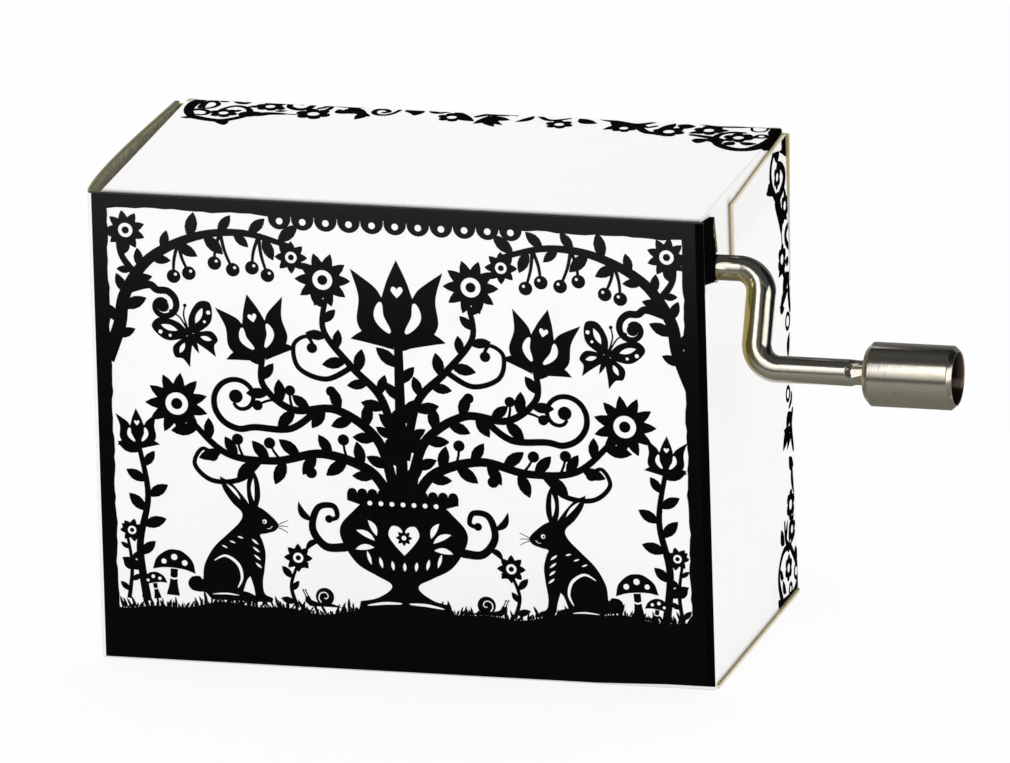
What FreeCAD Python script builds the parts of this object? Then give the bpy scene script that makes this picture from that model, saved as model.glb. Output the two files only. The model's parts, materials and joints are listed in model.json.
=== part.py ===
"""Hand cranked music box: a small folded carton with an 18-note movement hung under its lid.

Millimetres, +Z up, +X towards the crank, front of the carton at -Y.
The origin is the middle of the carton's underside.
"""
import FreeCAD
import Part
import math
import os

V = FreeCAD.Vector

# Carton, outside sizes
WIDTH = 64.0
DEPTH = 33.5
HEIGHT = 49.0
BOARD = 0.5                # thickness of the printed card
FRONT_DROP = 0.1           # front panel's cut edge below the lid's face
LEFT_DROP = 0.15           # left panel's top edge below the lid's face
LEFT_BOW = 0.45            # left panel bulges outwards along its top edge
LID_LEFT_INSET = 1.25      # lid's left fold inside the carton's left face
BACK_PROUD = 0.3           # back panel's cut edge past the right panel, at the top
BACK_PROUD_RUN = 16.0      # it runs flush this far below the lid
BOTTOM_PROUD = 0.25        # bottom panel's cut edge past the right panel
FLAP_EASE = 0.5            # room beside a tucked flap
EAR_LENGTH = 13.0          # lid ears, down inside the side panels
TUCK_LENGTH = 12.0         # lid's tuck flap, down behind the front panel
GLUE_TAB_WIDTH = 10.0
GLUE_TAB_STOP = 3.0        # glue tab's ends short of the bottom and the lid
BOTTOM_TUCK_LENGTH = 12.0
BOTTOM_FLAP_LENGTH = 14.0

# Right panel: crank slot open at the top, with a narrow tab in front of it
TAB_FRONT_DROP = 0.2       # tab's top edge below the lid, at the front fold
TAB_REAR_DROP = 0.7        # and at its free edge
TAB_TOP_WIDTH = 4.4
TAB_FOOT_WIDTH = 5.4
TAB_FOOT_ABOVE = 1.2       # tab's foot above the shaft axis
SLOT_REAR = 11.9           # slot's rear edge behind the front face
SLOT_FLOOR = 1.8           # slot's floor below the shaft axis, at the rear
SLOT_DROP = 1.75           # right panel's top edge below the lid, beside the slot
RIGHT_REAR_DROP = 0.55     # and at the back

# Crank
SHAFT_SETBACK = 4.95       # shaft axis behind the front face
SHAFT_DROP = 6.1           # shaft axis below the lid's face
WIRE_D = 2.6
SHAFT_STUB = 4.75          # arm's centre line out from the right face
BEND_R = 2.5               # centre line of the two bends
CRANK_THROW = 9.95
CRANK_ANGLE = 25.0         # arm at rest, degrees forwards of straight down
HANDLE_TO_CRIMP = 9.65     # arm's centre line to the flattened ears
CRIMP_LENGTH = 1.9
CRIMP_WIDTH = 4.0
CRIMP_THICK = 1.2
PANEL_HOLE_GAP = 0.25      # card clear of the wire
EAR_HOLE_GAP = 0.45
CRADLE_HOLE_GAP = 0.8

# Knob
KNOB_D = 6.5
KNOB_LENGTH = 9.3
KNOB_INNER_D = 5.2         # inner end face
KNOB_INNER_BEVEL = 0.55    # length of its bevel
KNOB_OUTER_D = 5.8         # outer end face
KNOB_OUTER_BEVEL = 0.5
KNOB_RECESS_D = 4.9
KNOB_RECESS = 2.6          # depth of the hollow outer end
KNOB_FIT = 0.08            # running clearance on the wire
KNOB_PLAY = 0.1            # end play
WASHER_D = 4.4
WASHER_T = 0.3
PEEN_D = 3.9
PEEN_T = 0.4

# Grey board cradle that the movement is screwed to
CRADLE_BOARD = 1.0
CRADLE_GAP = 0.15

# Movement: cast bedplate with the two bearing posts and the comb's pedestal
BED_T = 1.5
BED_GAP = 0.2              # bedplate inside the cradle, front and back
BED_LEFT_GAP = 5.0
BED_RIGHT_GAP = 2.35
BED_LIP = 0.5
POST_T = 2.5
POST_W = 5.6
POST_OFFSET = 6.5          # post faces from the gear's plane, each side
BUSH_WALL = 0.7
RUN_FIT = 0.05             # running clearance of shafts
SLIP_FIT = 0.02            # pieces pushed on or into each other
SHAFT_TAIL = 0.6           # shaft past the inner post

# Worm and gear
MODULE = 0.5
TEETH = 26
WORM_PITCH_D = 4.5
WORM_ADDENDUM = 0.15
WORM_DEDENDUM = 0.5
WORM_TURNS = 4
THREAD_ROOT_T = 0.55
THREAD_TIP_T = 0.3
THREAD_SUNK = 0.1          # thread's profile starts this far inside the worm's body
END_PLAY = 0.1
GEAR_WIDTH = 1.5
GEAR_ADDENDUM = 0.4
GEAR_DEDENDUM = 0.3
TOOTH_ROOT_T = 0.8
TOOTH_TIP_T = 0.42
HUB_WALL = 1.0

# Pinned cylinder, its arbor and brackets
ARBOR_D = 2.0
ARBOR_TAIL = 0.5
CYLINDER_D = 13.0
CYLINDER_WALL = 0.6
CAP_T = 1.0
PIN_D = 0.3
PIN_H = 0.5
PINS_PER_TRACK = 5
PIN_STEP = 137.5           # degrees from one pin to the next along the tune
NOTES = 18
TRACK_MARGIN = 0.7
BRACKET_T = 1.8
BRACKET_W = 7.0
BRACKET_WALL = 1.6         # bracket's metal beyond the arbor's hole
BRACKET_LIP = 0.8          # rear bracket inside the bedplate's back edge
BRACKET_GAP = 0.35         # cylinder's ends clear of the brackets
WORM_GAP = 0.3             # front bracket clear of the worm
FLANGE_T = 1.5
FLANGE_L = 4.0

# Comb
COMB_T = 0.9
COMB_GAP = 0.08            # tine tips clear of the pins
TINE_LENGTH = 15.0
COMB_LAND = 10.0           # solid back part of the comb
TINE_SLOT = 0.2
COMB_SLANT = 4.5           # lowest tine's root behind the highest one's
PEDESTAL_SETBACK = 2.4     # pedestal's face behind the lowest tine's root
WEIGHTS = 6
WEIGHT_L = 2.6
WEIGHT_H = 1.2
WEIGHT_BACK = 0.9          # weights behind the tine tips

# Screws: head diameter, head height, shank diameter, length under the head
COMB_SCREW = (4.0, 1.2, 2.2, 5.4)
BRACKET_SCREW = (3.4, 1.1, 1.8, 2.7)
CRADLE_SCREW = (3.8, 0.9, 2.0, 4.1)
COMB_SCREW_PITCH = 8.6
DRIVER_SLOT_W = 0.4
DRIVER_SLOT_DEEP = 0.35
SCREW_TIP_GAP = 0.5        # blind hole past a screw's end
BOSS_WALL = 1.2
BOSS_EDGE = 3.2            # corner bosses from the bedplate's edges

# Places worked out from the sizes above
left, right = -WIDTH / 2, WIDTH / 2
front, back = -DEPTH / 2, DEPTH / 2
under_lid = HEIGHT - BOARD
lid_left = left + LID_LEFT_INSET
lid_right = right - BOARD
ear_front = front + 2 * BOARD + FLAP_EASE
ear_back = back - 2 * BOARD - FLAP_EASE
glue_tab_left = lid_right - GLUE_TAB_WIDTH

wire_r = WIRE_D / 2
shaft_y = front + SHAFT_SETBACK
shaft_z = HEIGHT - SHAFT_DROP
lean = math.radians(CRANK_ANGLE)
handle_y = shaft_y - CRANK_THROW * math.sin(lean)
handle_z = shaft_z - CRANK_THROW * math.cos(lean)
arm_x = right + SHAFT_STUB

cradle_left = lid_left + BOARD + CRADLE_GAP
cradle_right = lid_right - BOARD - CRADLE_GAP
cradle_front = front + 2 * BOARD + CRADLE_GAP
cradle_back = back - 2 * BOARD - CRADLE_GAP
bed_top = under_lid - CRADLE_BOARD
bed_under = bed_top - BED_T
bed_left = cradle_left + CRADLE_BOARD + BED_LEFT_GAP
bed_right = cradle_right - CRADLE_BOARD - BED_RIGHT_GAP
bed_front = cradle_front + BED_GAP
bed_back = cradle_back - BED_GAP

gear_r = MODULE * TEETH / 2
tooth_pitch = math.pi * MODULE
worm_tip_r = WORM_PITCH_D / 2 + WORM_ADDENDUM
worm_root_r = WORM_PITCH_D / 2 - WORM_DEDENDUM
arbor_r = ARBOR_D / 2
hub_r = arbor_r + HUB_WALL
cylinder_r = CYLINDER_D / 2
cylinder_x = bed_right - BED_LIP - POST_T - POST_OFFSET
cylinder_z = shaft_z - WORM_PITCH_D / 2 - gear_r
inner_post_x = cylinder_x - POST_OFFSET - POST_T
outer_post_x = cylinder_x + POST_OFFSET
bush_r = wire_r + RUN_FIT + BUSH_WALL
gear_front = shaft_y - GEAR_WIDTH / 2
gear_back = shaft_y + GEAR_WIDTH / 2
front_bracket_y = shaft_y + worm_tip_r + WORM_GAP
rear_bracket_y = bed_back - BRACKET_LIP - BRACKET_T
cylinder_front = front_bracket_y + BRACKET_T + BRACKET_GAP
cylinder_back = rear_bracket_y - BRACKET_GAP
comb_front = cylinder_front + TRACK_MARGIN
comb_back = cylinder_back - TRACK_MARGIN
track_pitch = (comb_back - comb_front) / NOTES

tip_x = cylinder_x - cylinder_r - PIN_H - COMB_GAP
comb_root = tip_x - TINE_LENGTH
comb_left = comb_root - COMB_LAND
comb_low = cylinder_z - COMB_T / 2
comb_high = cylinder_z + COMB_T / 2
pedestal_right = comb_root - PEDESTAL_SETBACK
comb_screw_x = (comb_left + pedestal_right) / 2
comb_screw_y = [(comb_front + comb_back) / 2 + side * COMB_SCREW_PITCH / 2 for side in (-1, 1)]

crimp_x = arm_x + HANDLE_TO_CRIMP
knob_x = crimp_x + CRIMP_LENGTH + KNOB_PLAY
recess_x = knob_x + KNOB_LENGTH - KNOB_RECESS
washer_x = recess_x + KNOB_PLAY
peen_x = washer_x + WASHER_T

bracket_screw_y = (front_bracket_y + BRACKET_T + FLANGE_L / 2, rear_bracket_y - FLANGE_L / 2)
cradle_screw_at = (
    (bed_left + BOSS_EDGE, bed_front + BOSS_EDGE),
    (bed_left + BOSS_EDGE, bed_back - BOSS_EDGE),
    (inner_post_x - SHAFT_TAIL - BOSS_EDGE, bed_front + BOSS_EDGE),
    (bed_right - BOSS_EDGE, bed_back - 2 * BOSS_EDGE),
)


def box(x0, x1, y0, y1, z0, z1):
    return Part.makeBox(x1 - x0, y1 - y0, z1 - z0, V(x0, y0, z0))


def rod(radius, start, end):
    """A round rod between two points."""
    axis = end - start
    return Part.makeCylinder(radius, axis.Length, start, axis)


def ring(outer, inner, start, end):
    return rod(outer, start, end).cut(rod(inner, start, end))


def slab(points, thickness):
    """A flat outline given as 3-D points, thickened along the vector given."""
    wire = Part.makePolygon(points + points[:1])
    return Part.Face(wire).extrude(thickness)


def at_shaft(x):
    return V(x, shaft_y, shaft_z)


def at_handle(x):
    return V(x, handle_y, handle_z)


def at_arbor(y):
    return V(cylinder_x, y, cylinder_z)


def left_panel():
    """Straight at the foot, bowed outwards along the top edge."""
    y0, y1 = front + BOARD, back - BOARD
    middle = (y0 + y1) / 2

    def loop(z, bow):
        outer = V(left, y0, z), V(left - bow, middle, z), V(left, y1, z)
        inner = V(left + BOARD, y1, z), V(left + BOARD - bow, middle, z), V(left + BOARD, y0, z)
        if bow:
            sides = [Part.Arc(*outer), Part.Arc(*inner)]
        else:
            sides = [Part.LineSegment(outer[0], outer[2]), Part.LineSegment(inner[0], inner[2])]
        ends = [Part.LineSegment(outer[2], inner[0]), Part.LineSegment(inner[2], outer[0])]
        edges = [sides[0], ends[0], sides[1], ends[1]]
        return Part.Wire([edge.toShape() for edge in edges])

    return Part.makeLoft([loop(0, 0), loop(HEIGHT - LEFT_DROP, LEFT_BOW)], True, True)


def right_panel():
    """Stands on the bottom panel; slot and tab at the top, top edge rising towards the back."""
    x = lid_right
    y0, y1 = front + BOARD, back - BOARD
    hole_r = wire_r + PANEL_HOLE_GAP
    outline = [
        V(x, y0, BOARD),
        V(x, y1, BOARD),
        V(x, y1, HEIGHT - RIGHT_REAR_DROP),
        V(x, front + SLOT_REAR, HEIGHT - SLOT_DROP),
        V(x, front + SLOT_REAR, shaft_z - SLOT_FLOOR),
        V(x, shaft_y, shaft_z - hole_r),
        V(x, shaft_y, shaft_z),
        V(x, front + TAB_FOOT_WIDTH, shaft_z + TAB_FOOT_ABOVE),
        V(x, front + TAB_TOP_WIDTH, HEIGHT - TAB_REAR_DROP),
        V(x, y0, HEIGHT - TAB_FRONT_DROP),
    ]
    return slab(outline, V(BOARD, 0, 0)).cut(rod(hole_r, at_shaft(x), at_shaft(right)))


def back_panel():
    """Flush with the right panel at the foot; its cut edge stands proud towards the top."""
    y = back - BOARD
    outline = [
        V(left, y, 0),
        V(right, y, 0),
        V(right, y, HEIGHT - BACK_PROUD_RUN),
        V(right + BACK_PROUD, y, under_lid),
        V(left, y, under_lid),
    ]
    return slab(outline, V(0, BOARD, 0))


def lid_right_ear():
    """Hangs inside the right panel, notched from below to pass over the shaft."""
    x0, x1 = lid_right - BOARD, lid_right
    foot = under_lid - EAR_LENGTH
    reach = wire_r + EAR_HOLE_GAP
    ear = box(x0, x1, ear_front, ear_back, foot, under_lid)
    throat = box(x0, x1, shaft_y - reach, shaft_y + reach, foot, shaft_z)
    return ear.cut(rod(reach, at_shaft(x0), at_shaft(x1)).fuse(throat))


def cradle():
    """Folded grey board: a web under the lid and two legs down to the bottom flaps."""
    head_d, head_h, shank_d, length = CRADLE_SCREW
    shape = box(cradle_left, cradle_right, cradle_front, cradle_back, bed_top, under_lid)
    for x in (cradle_left, cradle_right - CRADLE_BOARD):
        leg = box(x, x + CRADLE_BOARD, cradle_front, cradle_back, 2 * BOARD, bed_top)
        shape = shape.fuse(leg)
    hole = rod(wire_r + CRADLE_HOLE_GAP, at_shaft(cradle_right - CRADLE_BOARD), at_shaft(cradle_right))
    shape = shape.cut(hole)
    for x, y in cradle_screw_at:
        cone = Part.makeCone(shank_d / 2 + SLIP_FIT, head_d / 2 + SLIP_FIT, head_h,
                             V(x, y, under_lid - head_h))
        shank = rod(shank_d / 2 + SLIP_FIT, V(x, y, bed_top), V(x, y, under_lid))
        shape = shape.cut(cone.fuse(shank))
    return shape.removeSplitter()


def bearing_post(x):
    """A post down from the bedplate, rounded under the shaft and bored for its bush."""
    x1 = x + POST_T
    post = box(x, x1, shaft_y - POST_W / 2, shaft_y + POST_W / 2, shaft_z, bed_under)
    post = post.fuse(rod(POST_W / 2, at_shaft(x), at_shaft(x1)))
    return post.cut(rod(bush_r + SLIP_FIT, at_shaft(x), at_shaft(x1)))


def bedplate():
    """One casting: plate, two bearing posts, comb pedestal and four screw bosses."""
    plate = box(bed_left, bed_right, bed_front, bed_back, bed_under, bed_top)
    pedestal = box(comb_left, pedestal_right, comb_front, comb_back, comb_high, bed_under)
    shape = plate.fuse([pedestal, bearing_post(inner_post_x), bearing_post(outer_post_x)])
    head_d, head_h, shank_d, length = CRADLE_SCREW
    boss_end = under_lid - head_h - length - 2 * SCREW_TIP_GAP
    for x, y in cradle_screw_at:
        shape = shape.fuse(rod(shank_d / 2 + BOSS_WALL, V(x, y, boss_end), V(x, y, bed_under)))
    for x, y in cradle_screw_at:
        end = boss_end + SCREW_TIP_GAP
        shape = shape.cut(rod(shank_d / 2 + SLIP_FIT, V(x, y, end), V(x, y, bed_top)))
    head_d, head_h, shank_d, length = COMB_SCREW
    for y in comb_screw_y:
        end = comb_low + length + SCREW_TIP_GAP
        hole = rod(shank_d / 2 + SLIP_FIT, V(comb_screw_x, y, comb_high), V(comb_screw_x, y, end))
        shape = shape.cut(hole)
    head_d, head_h, shank_d, length = BRACKET_SCREW
    for y in bracket_screw_y:
        hole = rod(shank_d / 2 + SLIP_FIT, V(cylinder_x, y, bed_under), V(cylinder_x, y, bed_top))
        shape = shape.cut(hole)
    return shape.removeSplitter()


def arbor_bracket(y, flange_y, screw_y):
    """An angle plate screwed under the bedplate, with the arbor's bearing hole."""
    x0, x1 = cylinder_x - BRACKET_W / 2, cylinder_x + BRACKET_W / 2
    hole_r = arbor_r + RUN_FIT
    foot = cylinder_z - hole_r - BRACKET_WALL
    shape = box(x0, x1, y, y + BRACKET_T, foot, bed_under)
    flange = box(x0, x1, flange_y, flange_y + FLANGE_L, bed_under - FLANGE_T, bed_under)
    shape = shape.fuse(flange)
    shape = shape.cut(rod(hole_r, at_arbor(y), at_arbor(y + BRACKET_T)))
    shank_r = BRACKET_SCREW[2] / 2 + SLIP_FIT
    top = V(cylinder_x, screw_y, bed_under)
    return shape.cut(rod(shank_r, top - V(0, 0, FLANGE_T), top)).removeSplitter()


def pan_screw(size, seat):
    """A cheese-head screw pointing up from its seat, slotted on the underside."""
    head_d, head_h, shank_d, length = size
    head = rod(head_d / 2, seat - V(0, 0, head_h), seat)
    screw = head.fuse(rod(shank_d / 2, seat, seat + V(0, 0, length)))
    low = seat.z - head_h
    slot = box(seat.x - head_d, seat.x + head_d, seat.y - DRIVER_SLOT_W / 2,
               seat.y + DRIVER_SLOT_W / 2, low, low + DRIVER_SLOT_DEEP)
    return screw.cut(slot)


def countersunk_screw(x, y):
    """A cradle screw, head level with the web's top."""
    head_d, head_h, shank_d, length = CRADLE_SCREW
    seat = under_lid - head_h
    head = Part.makeCone(shank_d / 2, head_d / 2, head_h, V(x, y, seat))
    screw = head.fuse(rod(shank_d / 2, V(x, y, seat - length), V(x, y, seat)))
    slot = box(x - head_d, x + head_d, y - DRIVER_SLOT_W / 2, y + DRIVER_SLOT_W / 2,
               under_lid - DRIVER_SLOT_DEEP, under_lid)
    return screw.cut(slot)


def pinned_cylinder():
    """Thin brass sleeve with the tune's pins standing out of it in eighteen tracks."""
    sleeve = ring(cylinder_r, cylinder_r - CYLINDER_WALL, at_arbor(cylinder_front), at_arbor(cylinder_back))
    pins = []
    for count in range(NOTES * PINS_PER_TRACK):
        track = count % NOTES
        turn = math.radians(count * PIN_STEP)
        outwards = V(math.cos(turn), 0, math.sin(turn))
        centre = at_arbor(comb_front + (track + 0.5) * track_pitch)
        foot = centre + outwards * (cylinder_r - CYLINDER_WALL / 2)
        pins.append(rod(PIN_D / 2, foot, centre + outwards * (cylinder_r + PIN_H)))
    return sleeve.fuse(pins)


def cylinder_end_caps():
    outer = cylinder_r - CYLINDER_WALL - SLIP_FIT
    inner = arbor_r + SLIP_FIT
    starts = (cylinder_front, cylinder_back - CAP_T)
    return [ring(outer, inner, at_arbor(y), at_arbor(y + CAP_T)) for y in starts]


def cylinder_gear():
    """Straight toothed wheel with a hub that reaches to the front bracket."""
    root = gear_r - GEAR_DEDENDUM
    tip = gear_r + GEAR_ADDENDUM
    points = []
    for tooth in range(TEETH):
        middle = math.pi / 2 + tooth * 2 * math.pi / TEETH
        corners = ((root, -TOOTH_ROOT_T), (tip, -TOOTH_TIP_T), (tip, TOOTH_TIP_T), (root, TOOTH_ROOT_T))
        for radius, thick in corners:
            turn = middle + thick / 2 / radius
            flat = V(math.cos(turn), 0, math.sin(turn)) * radius
            points.append(at_arbor(gear_front) + flat)
    wheel = slab(points, V(0, GEAR_WIDTH, 0))
    hub_end = front_bracket_y - END_PLAY
    wheel = wheel.fuse(rod(hub_r, at_arbor(gear_back), at_arbor(hub_end)))
    return wheel.cut(rod(arbor_r + SLIP_FIT, at_arbor(gear_front), at_arbor(hub_end))).removeSplitter()


def worm():
    """Sleeve between the posts with a single-start thread; a gap meets the gear's top tooth."""
    length = WORM_TURNS * tooth_pitch
    reach = worm_root_r - THREAD_SUNK
    helix = Part.makeHelix(tooth_pitch, length, reach)
    half_root, half_tip = THREAD_ROOT_T / 2, THREAD_TIP_T / 2
    profile = [V(reach, 0, -half_root), V(worm_tip_r, 0, -half_tip), V(worm_tip_r, 0, half_tip),
               V(reach, 0, half_root)]
    section = Part.makePolygon(profile + profile[:1])
    thread = Part.Wire(helix).makePipeShell([section], True, True)
    # Laid along X, the thread's end is under the shaft, where the gear is
    thread.rotate(V(0, 0, 0), V(0, 1, 0), 90)
    thread.translate(at_shaft(cylinder_x - length / 2 + tooth_pitch / 2))
    start, end = inner_post_x + POST_T + END_PLAY, outer_post_x - END_PLAY
    body = rod(worm_root_r, at_shaft(start), at_shaft(end)).fuse(thread)
    return body.cut(rod(wire_r + SLIP_FIT, at_shaft(start), at_shaft(end)))


def comb():
    """Steel plate cut into eighteen tines that shorten from the low notes to the high ones."""
    plate = box(comb_left, tip_x, comb_front, comb_back, comb_low, comb_high)
    cuts = []
    for gap in range(1, NOTES):
        y = comb_front + gap * track_pitch
        root = comb_root + COMB_SLANT * (1 - gap / NOTES)
        cuts.append(box(root, tip_x, y - TINE_SLOT / 2, y + TINE_SLOT / 2, comb_low, comb_high))
    shank_r = COMB_SCREW[2] / 2 + SLIP_FIT
    for y in comb_screw_y:
        cuts.append(rod(shank_r, V(comb_screw_x, y, comb_low), V(comb_screw_x, y, comb_high)))
    return plate.cut(cuts)


def comb_weights():
    """Lead blocks under the tips of the low tines, on the bedplate's side."""
    x1 = tip_x - WEIGHT_BACK
    half = (track_pitch - 1.5 * TINE_SLOT) / 2
    blocks = []
    for note in range(NOTES - WEIGHTS, NOTES):
        y = comb_front + (note + 0.5) * track_pitch
        blocks.append(box(x1 - WEIGHT_L, x1, y - half, y + half, comb_high, comb_high + WEIGHT_H))
    return blocks


def crank_wire():
    """One bent wire: shaft, arm, handle, flattened ears and the peened end."""
    arm = (at_handle(arm_x) - at_shaft(arm_x)).normalize()
    along = V(1, 0, 0)
    diagonal = BEND_R * math.sqrt(0.5)

    def bend(corner, towards, away):
        """Arc of a right-angle bend; towards and away point from its corner along the legs."""
        centre = corner + (towards + away) * BEND_R
        middle = centre - (towards + away) * diagonal
        return Part.Arc(corner + towards * BEND_R, middle, corner + away * BEND_R)

    start, end = at_shaft(inner_post_x - SHAFT_TAIL), at_handle(peen_x)
    first = bend(at_shaft(arm_x), along * -1, arm)
    second = bend(at_handle(arm_x), arm * -1, along)
    legs = [
        Part.LineSegment(start, at_shaft(arm_x) - along * BEND_R),
        first,
        Part.LineSegment(at_shaft(arm_x) + arm * BEND_R, at_handle(arm_x) - arm * BEND_R),
        second,
        Part.LineSegment(at_handle(arm_x) + along * BEND_R, end),
    ]
    path = Part.Wire([leg.toShape() for leg in legs])
    section = Part.Wire(Part.makeCircle(wire_r, start, along))
    wire = path.makePipeShell([section], True, False)
    ears = box(crimp_x, crimp_x + CRIMP_LENGTH, -CRIMP_WIDTH / 2, CRIMP_WIDTH / 2,
               -CRIMP_THICK / 2, CRIMP_THICK / 2)
    ears = ears.makeFillet(CRIMP_THICK * 0.4, ears.Edges)
    ears.translate(at_handle(0))
    peen = rod(PEEN_D / 2, at_handle(peen_x), at_handle(peen_x + PEEN_T))
    return wire.fuse([ears, peen])


def knob():
    """Turned sleeve on the handle, bevelled at both ends, with a hollow outer end."""
    length = KNOB_LENGTH
    bore = wire_r + KNOB_FIT
    profile = [
        (0, bore),
        (0, KNOB_INNER_D / 2),
        (KNOB_INNER_BEVEL, KNOB_D / 2),
        (length - KNOB_OUTER_BEVEL, KNOB_D / 2),
        (length, KNOB_OUTER_D / 2),
        (length, KNOB_RECESS_D / 2),
        (length - KNOB_RECESS, KNOB_RECESS_D / 2),
        (length - KNOB_RECESS, bore),
    ]
    points = [at_handle(knob_x + along) + V(0, 0, radius) for along, radius in profile]
    face = Part.Face(Part.makePolygon(points + points[:1]))
    return face.revolve(at_handle(knob_x), V(1, 0, 0), 360)


def carton():
    inner_front, inner_back = front + BOARD, back - BOARD
    tuck = box(lid_left + FLAP_EASE, lid_right - FLAP_EASE, inner_front, inner_front + BOARD,
               under_lid - TUCK_LENGTH, under_lid)
    flap_front, flap_back = ear_front, ear_back
    return {
        "front_panel": box(left, right, front, inner_front, 0, HEIGHT - FRONT_DROP),
        "back_panel": back_panel(),
        "left_panel": left_panel(),
        "right_panel": right_panel(),
        "bottom_panel": box(left + BOARD, right + BOTTOM_PROUD, inner_front, inner_back, 0, BOARD),
        "lid_panel": box(lid_left, lid_right, inner_front, back, under_lid, HEIGHT),
        "lid_tuck_flap": tuck,
        "lid_left_ear": box(lid_left, lid_left + BOARD, ear_front, ear_back,
                            under_lid - EAR_LENGTH, under_lid),
        "lid_right_ear": lid_right_ear(),
        "rear_glue_tab": box(glue_tab_left, lid_right, inner_back - BOARD, inner_back,
                             GLUE_TAB_STOP, HEIGHT - GLUE_TAB_STOP),
        "bottom_tuck_flap": box(left + BOARD + FLAP_EASE, glue_tab_left - FLAP_EASE,
                                inner_back - BOARD, inner_back, BOARD, BOARD + BOTTOM_TUCK_LENGTH),
        "bottom_left_flap": box(left + BOARD, left + BOARD + BOTTOM_FLAP_LENGTH,
                                flap_front, flap_back, BOARD, 2 * BOARD),
        "bottom_right_flap": box(lid_right - BOTTOM_FLAP_LENGTH, lid_right,
                                 flap_front, flap_back, BOARD, 2 * BOARD),
        "movement_cradle": cradle(),
    }


def movement():
    front_flange = front_bracket_y + BRACKET_T
    rear_flange = rear_bracket_y - FLANGE_L
    bushes = [ring(bush_r, wire_r + RUN_FIT, at_shaft(x), at_shaft(x + POST_T))
              for x in (inner_post_x, outer_post_x)]
    comb_seats = [V(comb_screw_x, y, comb_low) for y in comb_screw_y]
    bracket_seats = [V(cylinder_x, y, bed_under - FLANGE_T) for y in bracket_screw_y]
    return {
        "bedplate": bedplate(),
        "shaft_bushes": bushes,
        "front_arbor_bracket": arbor_bracket(front_bracket_y, front_flange, bracket_screw_y[0]),
        "rear_arbor_bracket": arbor_bracket(rear_bracket_y, rear_flange, bracket_screw_y[1]),
        "bracket_screws": [pan_screw(BRACKET_SCREW, seat) for seat in bracket_seats],
        "cradle_screws": [countersunk_screw(x, y) for x, y in cradle_screw_at],
        "comb": comb(),
        "comb_weights": comb_weights(),
        "comb_screws": [pan_screw(COMB_SCREW, seat) for seat in comb_seats],
        "pinned_cylinder": pinned_cylinder(),
        "cylinder_end_caps": cylinder_end_caps(),
        "cylinder_arbor": rod(arbor_r, at_arbor(gear_front - ARBOR_TAIL),
                              at_arbor(rear_bracket_y + BRACKET_T + ARBOR_TAIL)),
        "cylinder_gear": cylinder_gear(),
        "worm": worm(),
    }


def crank():
    return {
        "crank_wire": crank_wire(),
        "crank_knob": knob(),
        "knob_washer": ring(WASHER_D / 2, wire_r + SLIP_FIT, at_handle(washer_x), at_handle(peen_x)),
    }


os.makedirs("parts", exist_ok=True)
for group in (carton(), movement(), crank()):
    for name, shape in group.items():
        if isinstance(shape, list):
            shape = Part.makeCompound(shape)
        shape.exportStep(f"parts/{name}.step")
        print(f"{name}: {len(shape.Solids)} solid(s), {shape.Volume:.2f} mm3, valid {shape.isValid()}")
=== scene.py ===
# %% [markdown]
# # A hand cranked music box in a folded card carton
#
# The real object is a small carton of white coated card, printed in black, with a music movement inside and a bent
# wire crank that ends in a turned metal knob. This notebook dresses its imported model, which is the frame: every
# body and node stays where the frame has it, and the pieces made here are built round those places. The maker's
# sizes are in millimetres, so lengths are written that way and a finished mesh is scaled to metres at the end.

# %% Load the fixed frame
import json
import math

import bmesh
import bpy
from mathutils import Matrix, Vector, geometry


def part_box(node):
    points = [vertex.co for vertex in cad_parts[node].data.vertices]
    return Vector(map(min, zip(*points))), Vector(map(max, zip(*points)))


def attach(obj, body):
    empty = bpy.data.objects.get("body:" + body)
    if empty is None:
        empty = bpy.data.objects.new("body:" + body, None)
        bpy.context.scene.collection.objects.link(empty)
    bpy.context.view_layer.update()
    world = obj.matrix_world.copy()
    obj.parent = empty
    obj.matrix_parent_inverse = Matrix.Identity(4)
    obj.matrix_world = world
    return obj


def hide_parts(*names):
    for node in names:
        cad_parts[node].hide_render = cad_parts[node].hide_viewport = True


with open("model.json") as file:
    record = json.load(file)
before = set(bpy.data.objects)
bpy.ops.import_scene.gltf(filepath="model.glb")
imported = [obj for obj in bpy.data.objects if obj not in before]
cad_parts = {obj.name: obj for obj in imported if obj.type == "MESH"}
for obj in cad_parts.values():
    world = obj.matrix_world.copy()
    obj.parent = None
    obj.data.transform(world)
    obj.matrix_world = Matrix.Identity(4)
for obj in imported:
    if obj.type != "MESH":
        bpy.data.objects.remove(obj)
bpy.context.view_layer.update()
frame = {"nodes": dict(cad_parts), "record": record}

# %% [markdown]
# ## Sizes
#
# The frame gives the box of every node, so the carton's walls and the knob's place are read from it instead of
# being typed in again. What a box can't say, such as the slope of a cut edge, is named here once.

# %% Sizes of the carton, in millimetres
MM = 0.001


def box_mm(node):
    """Lowest and highest corner of a CAD node in millimetres."""
    low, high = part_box(node)
    return low / MM, high / MM


front_low, front_high = box_mm("front_panel")
lid_low, lid_high = box_mm("lid_panel")
back_high = box_mm("back_panel")[1]
LEFT, RIGHT = front_low.x, front_high.x
FRONT, BACK = front_low.y, back_high.y
TOP = lid_high.z
BOARD = front_high.y - front_low.y
UNDER_LID = TOP - BOARD
print("carton %.1f x %.1f x %.1f mm, card %.1f mm" % (RIGHT - LEFT, BACK - FRONT, TOP, BOARD))

# %% [markdown]
# ## The camera
#
# The photograph was taken from the right of the front and a little above, with a long lens, so that parallel edges
# hardly draw together. The camera therefore stands 3 m away with a narrow lens. It turns by a degree and a half,
# because the photographer's camera wasn't quite level.

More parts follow.
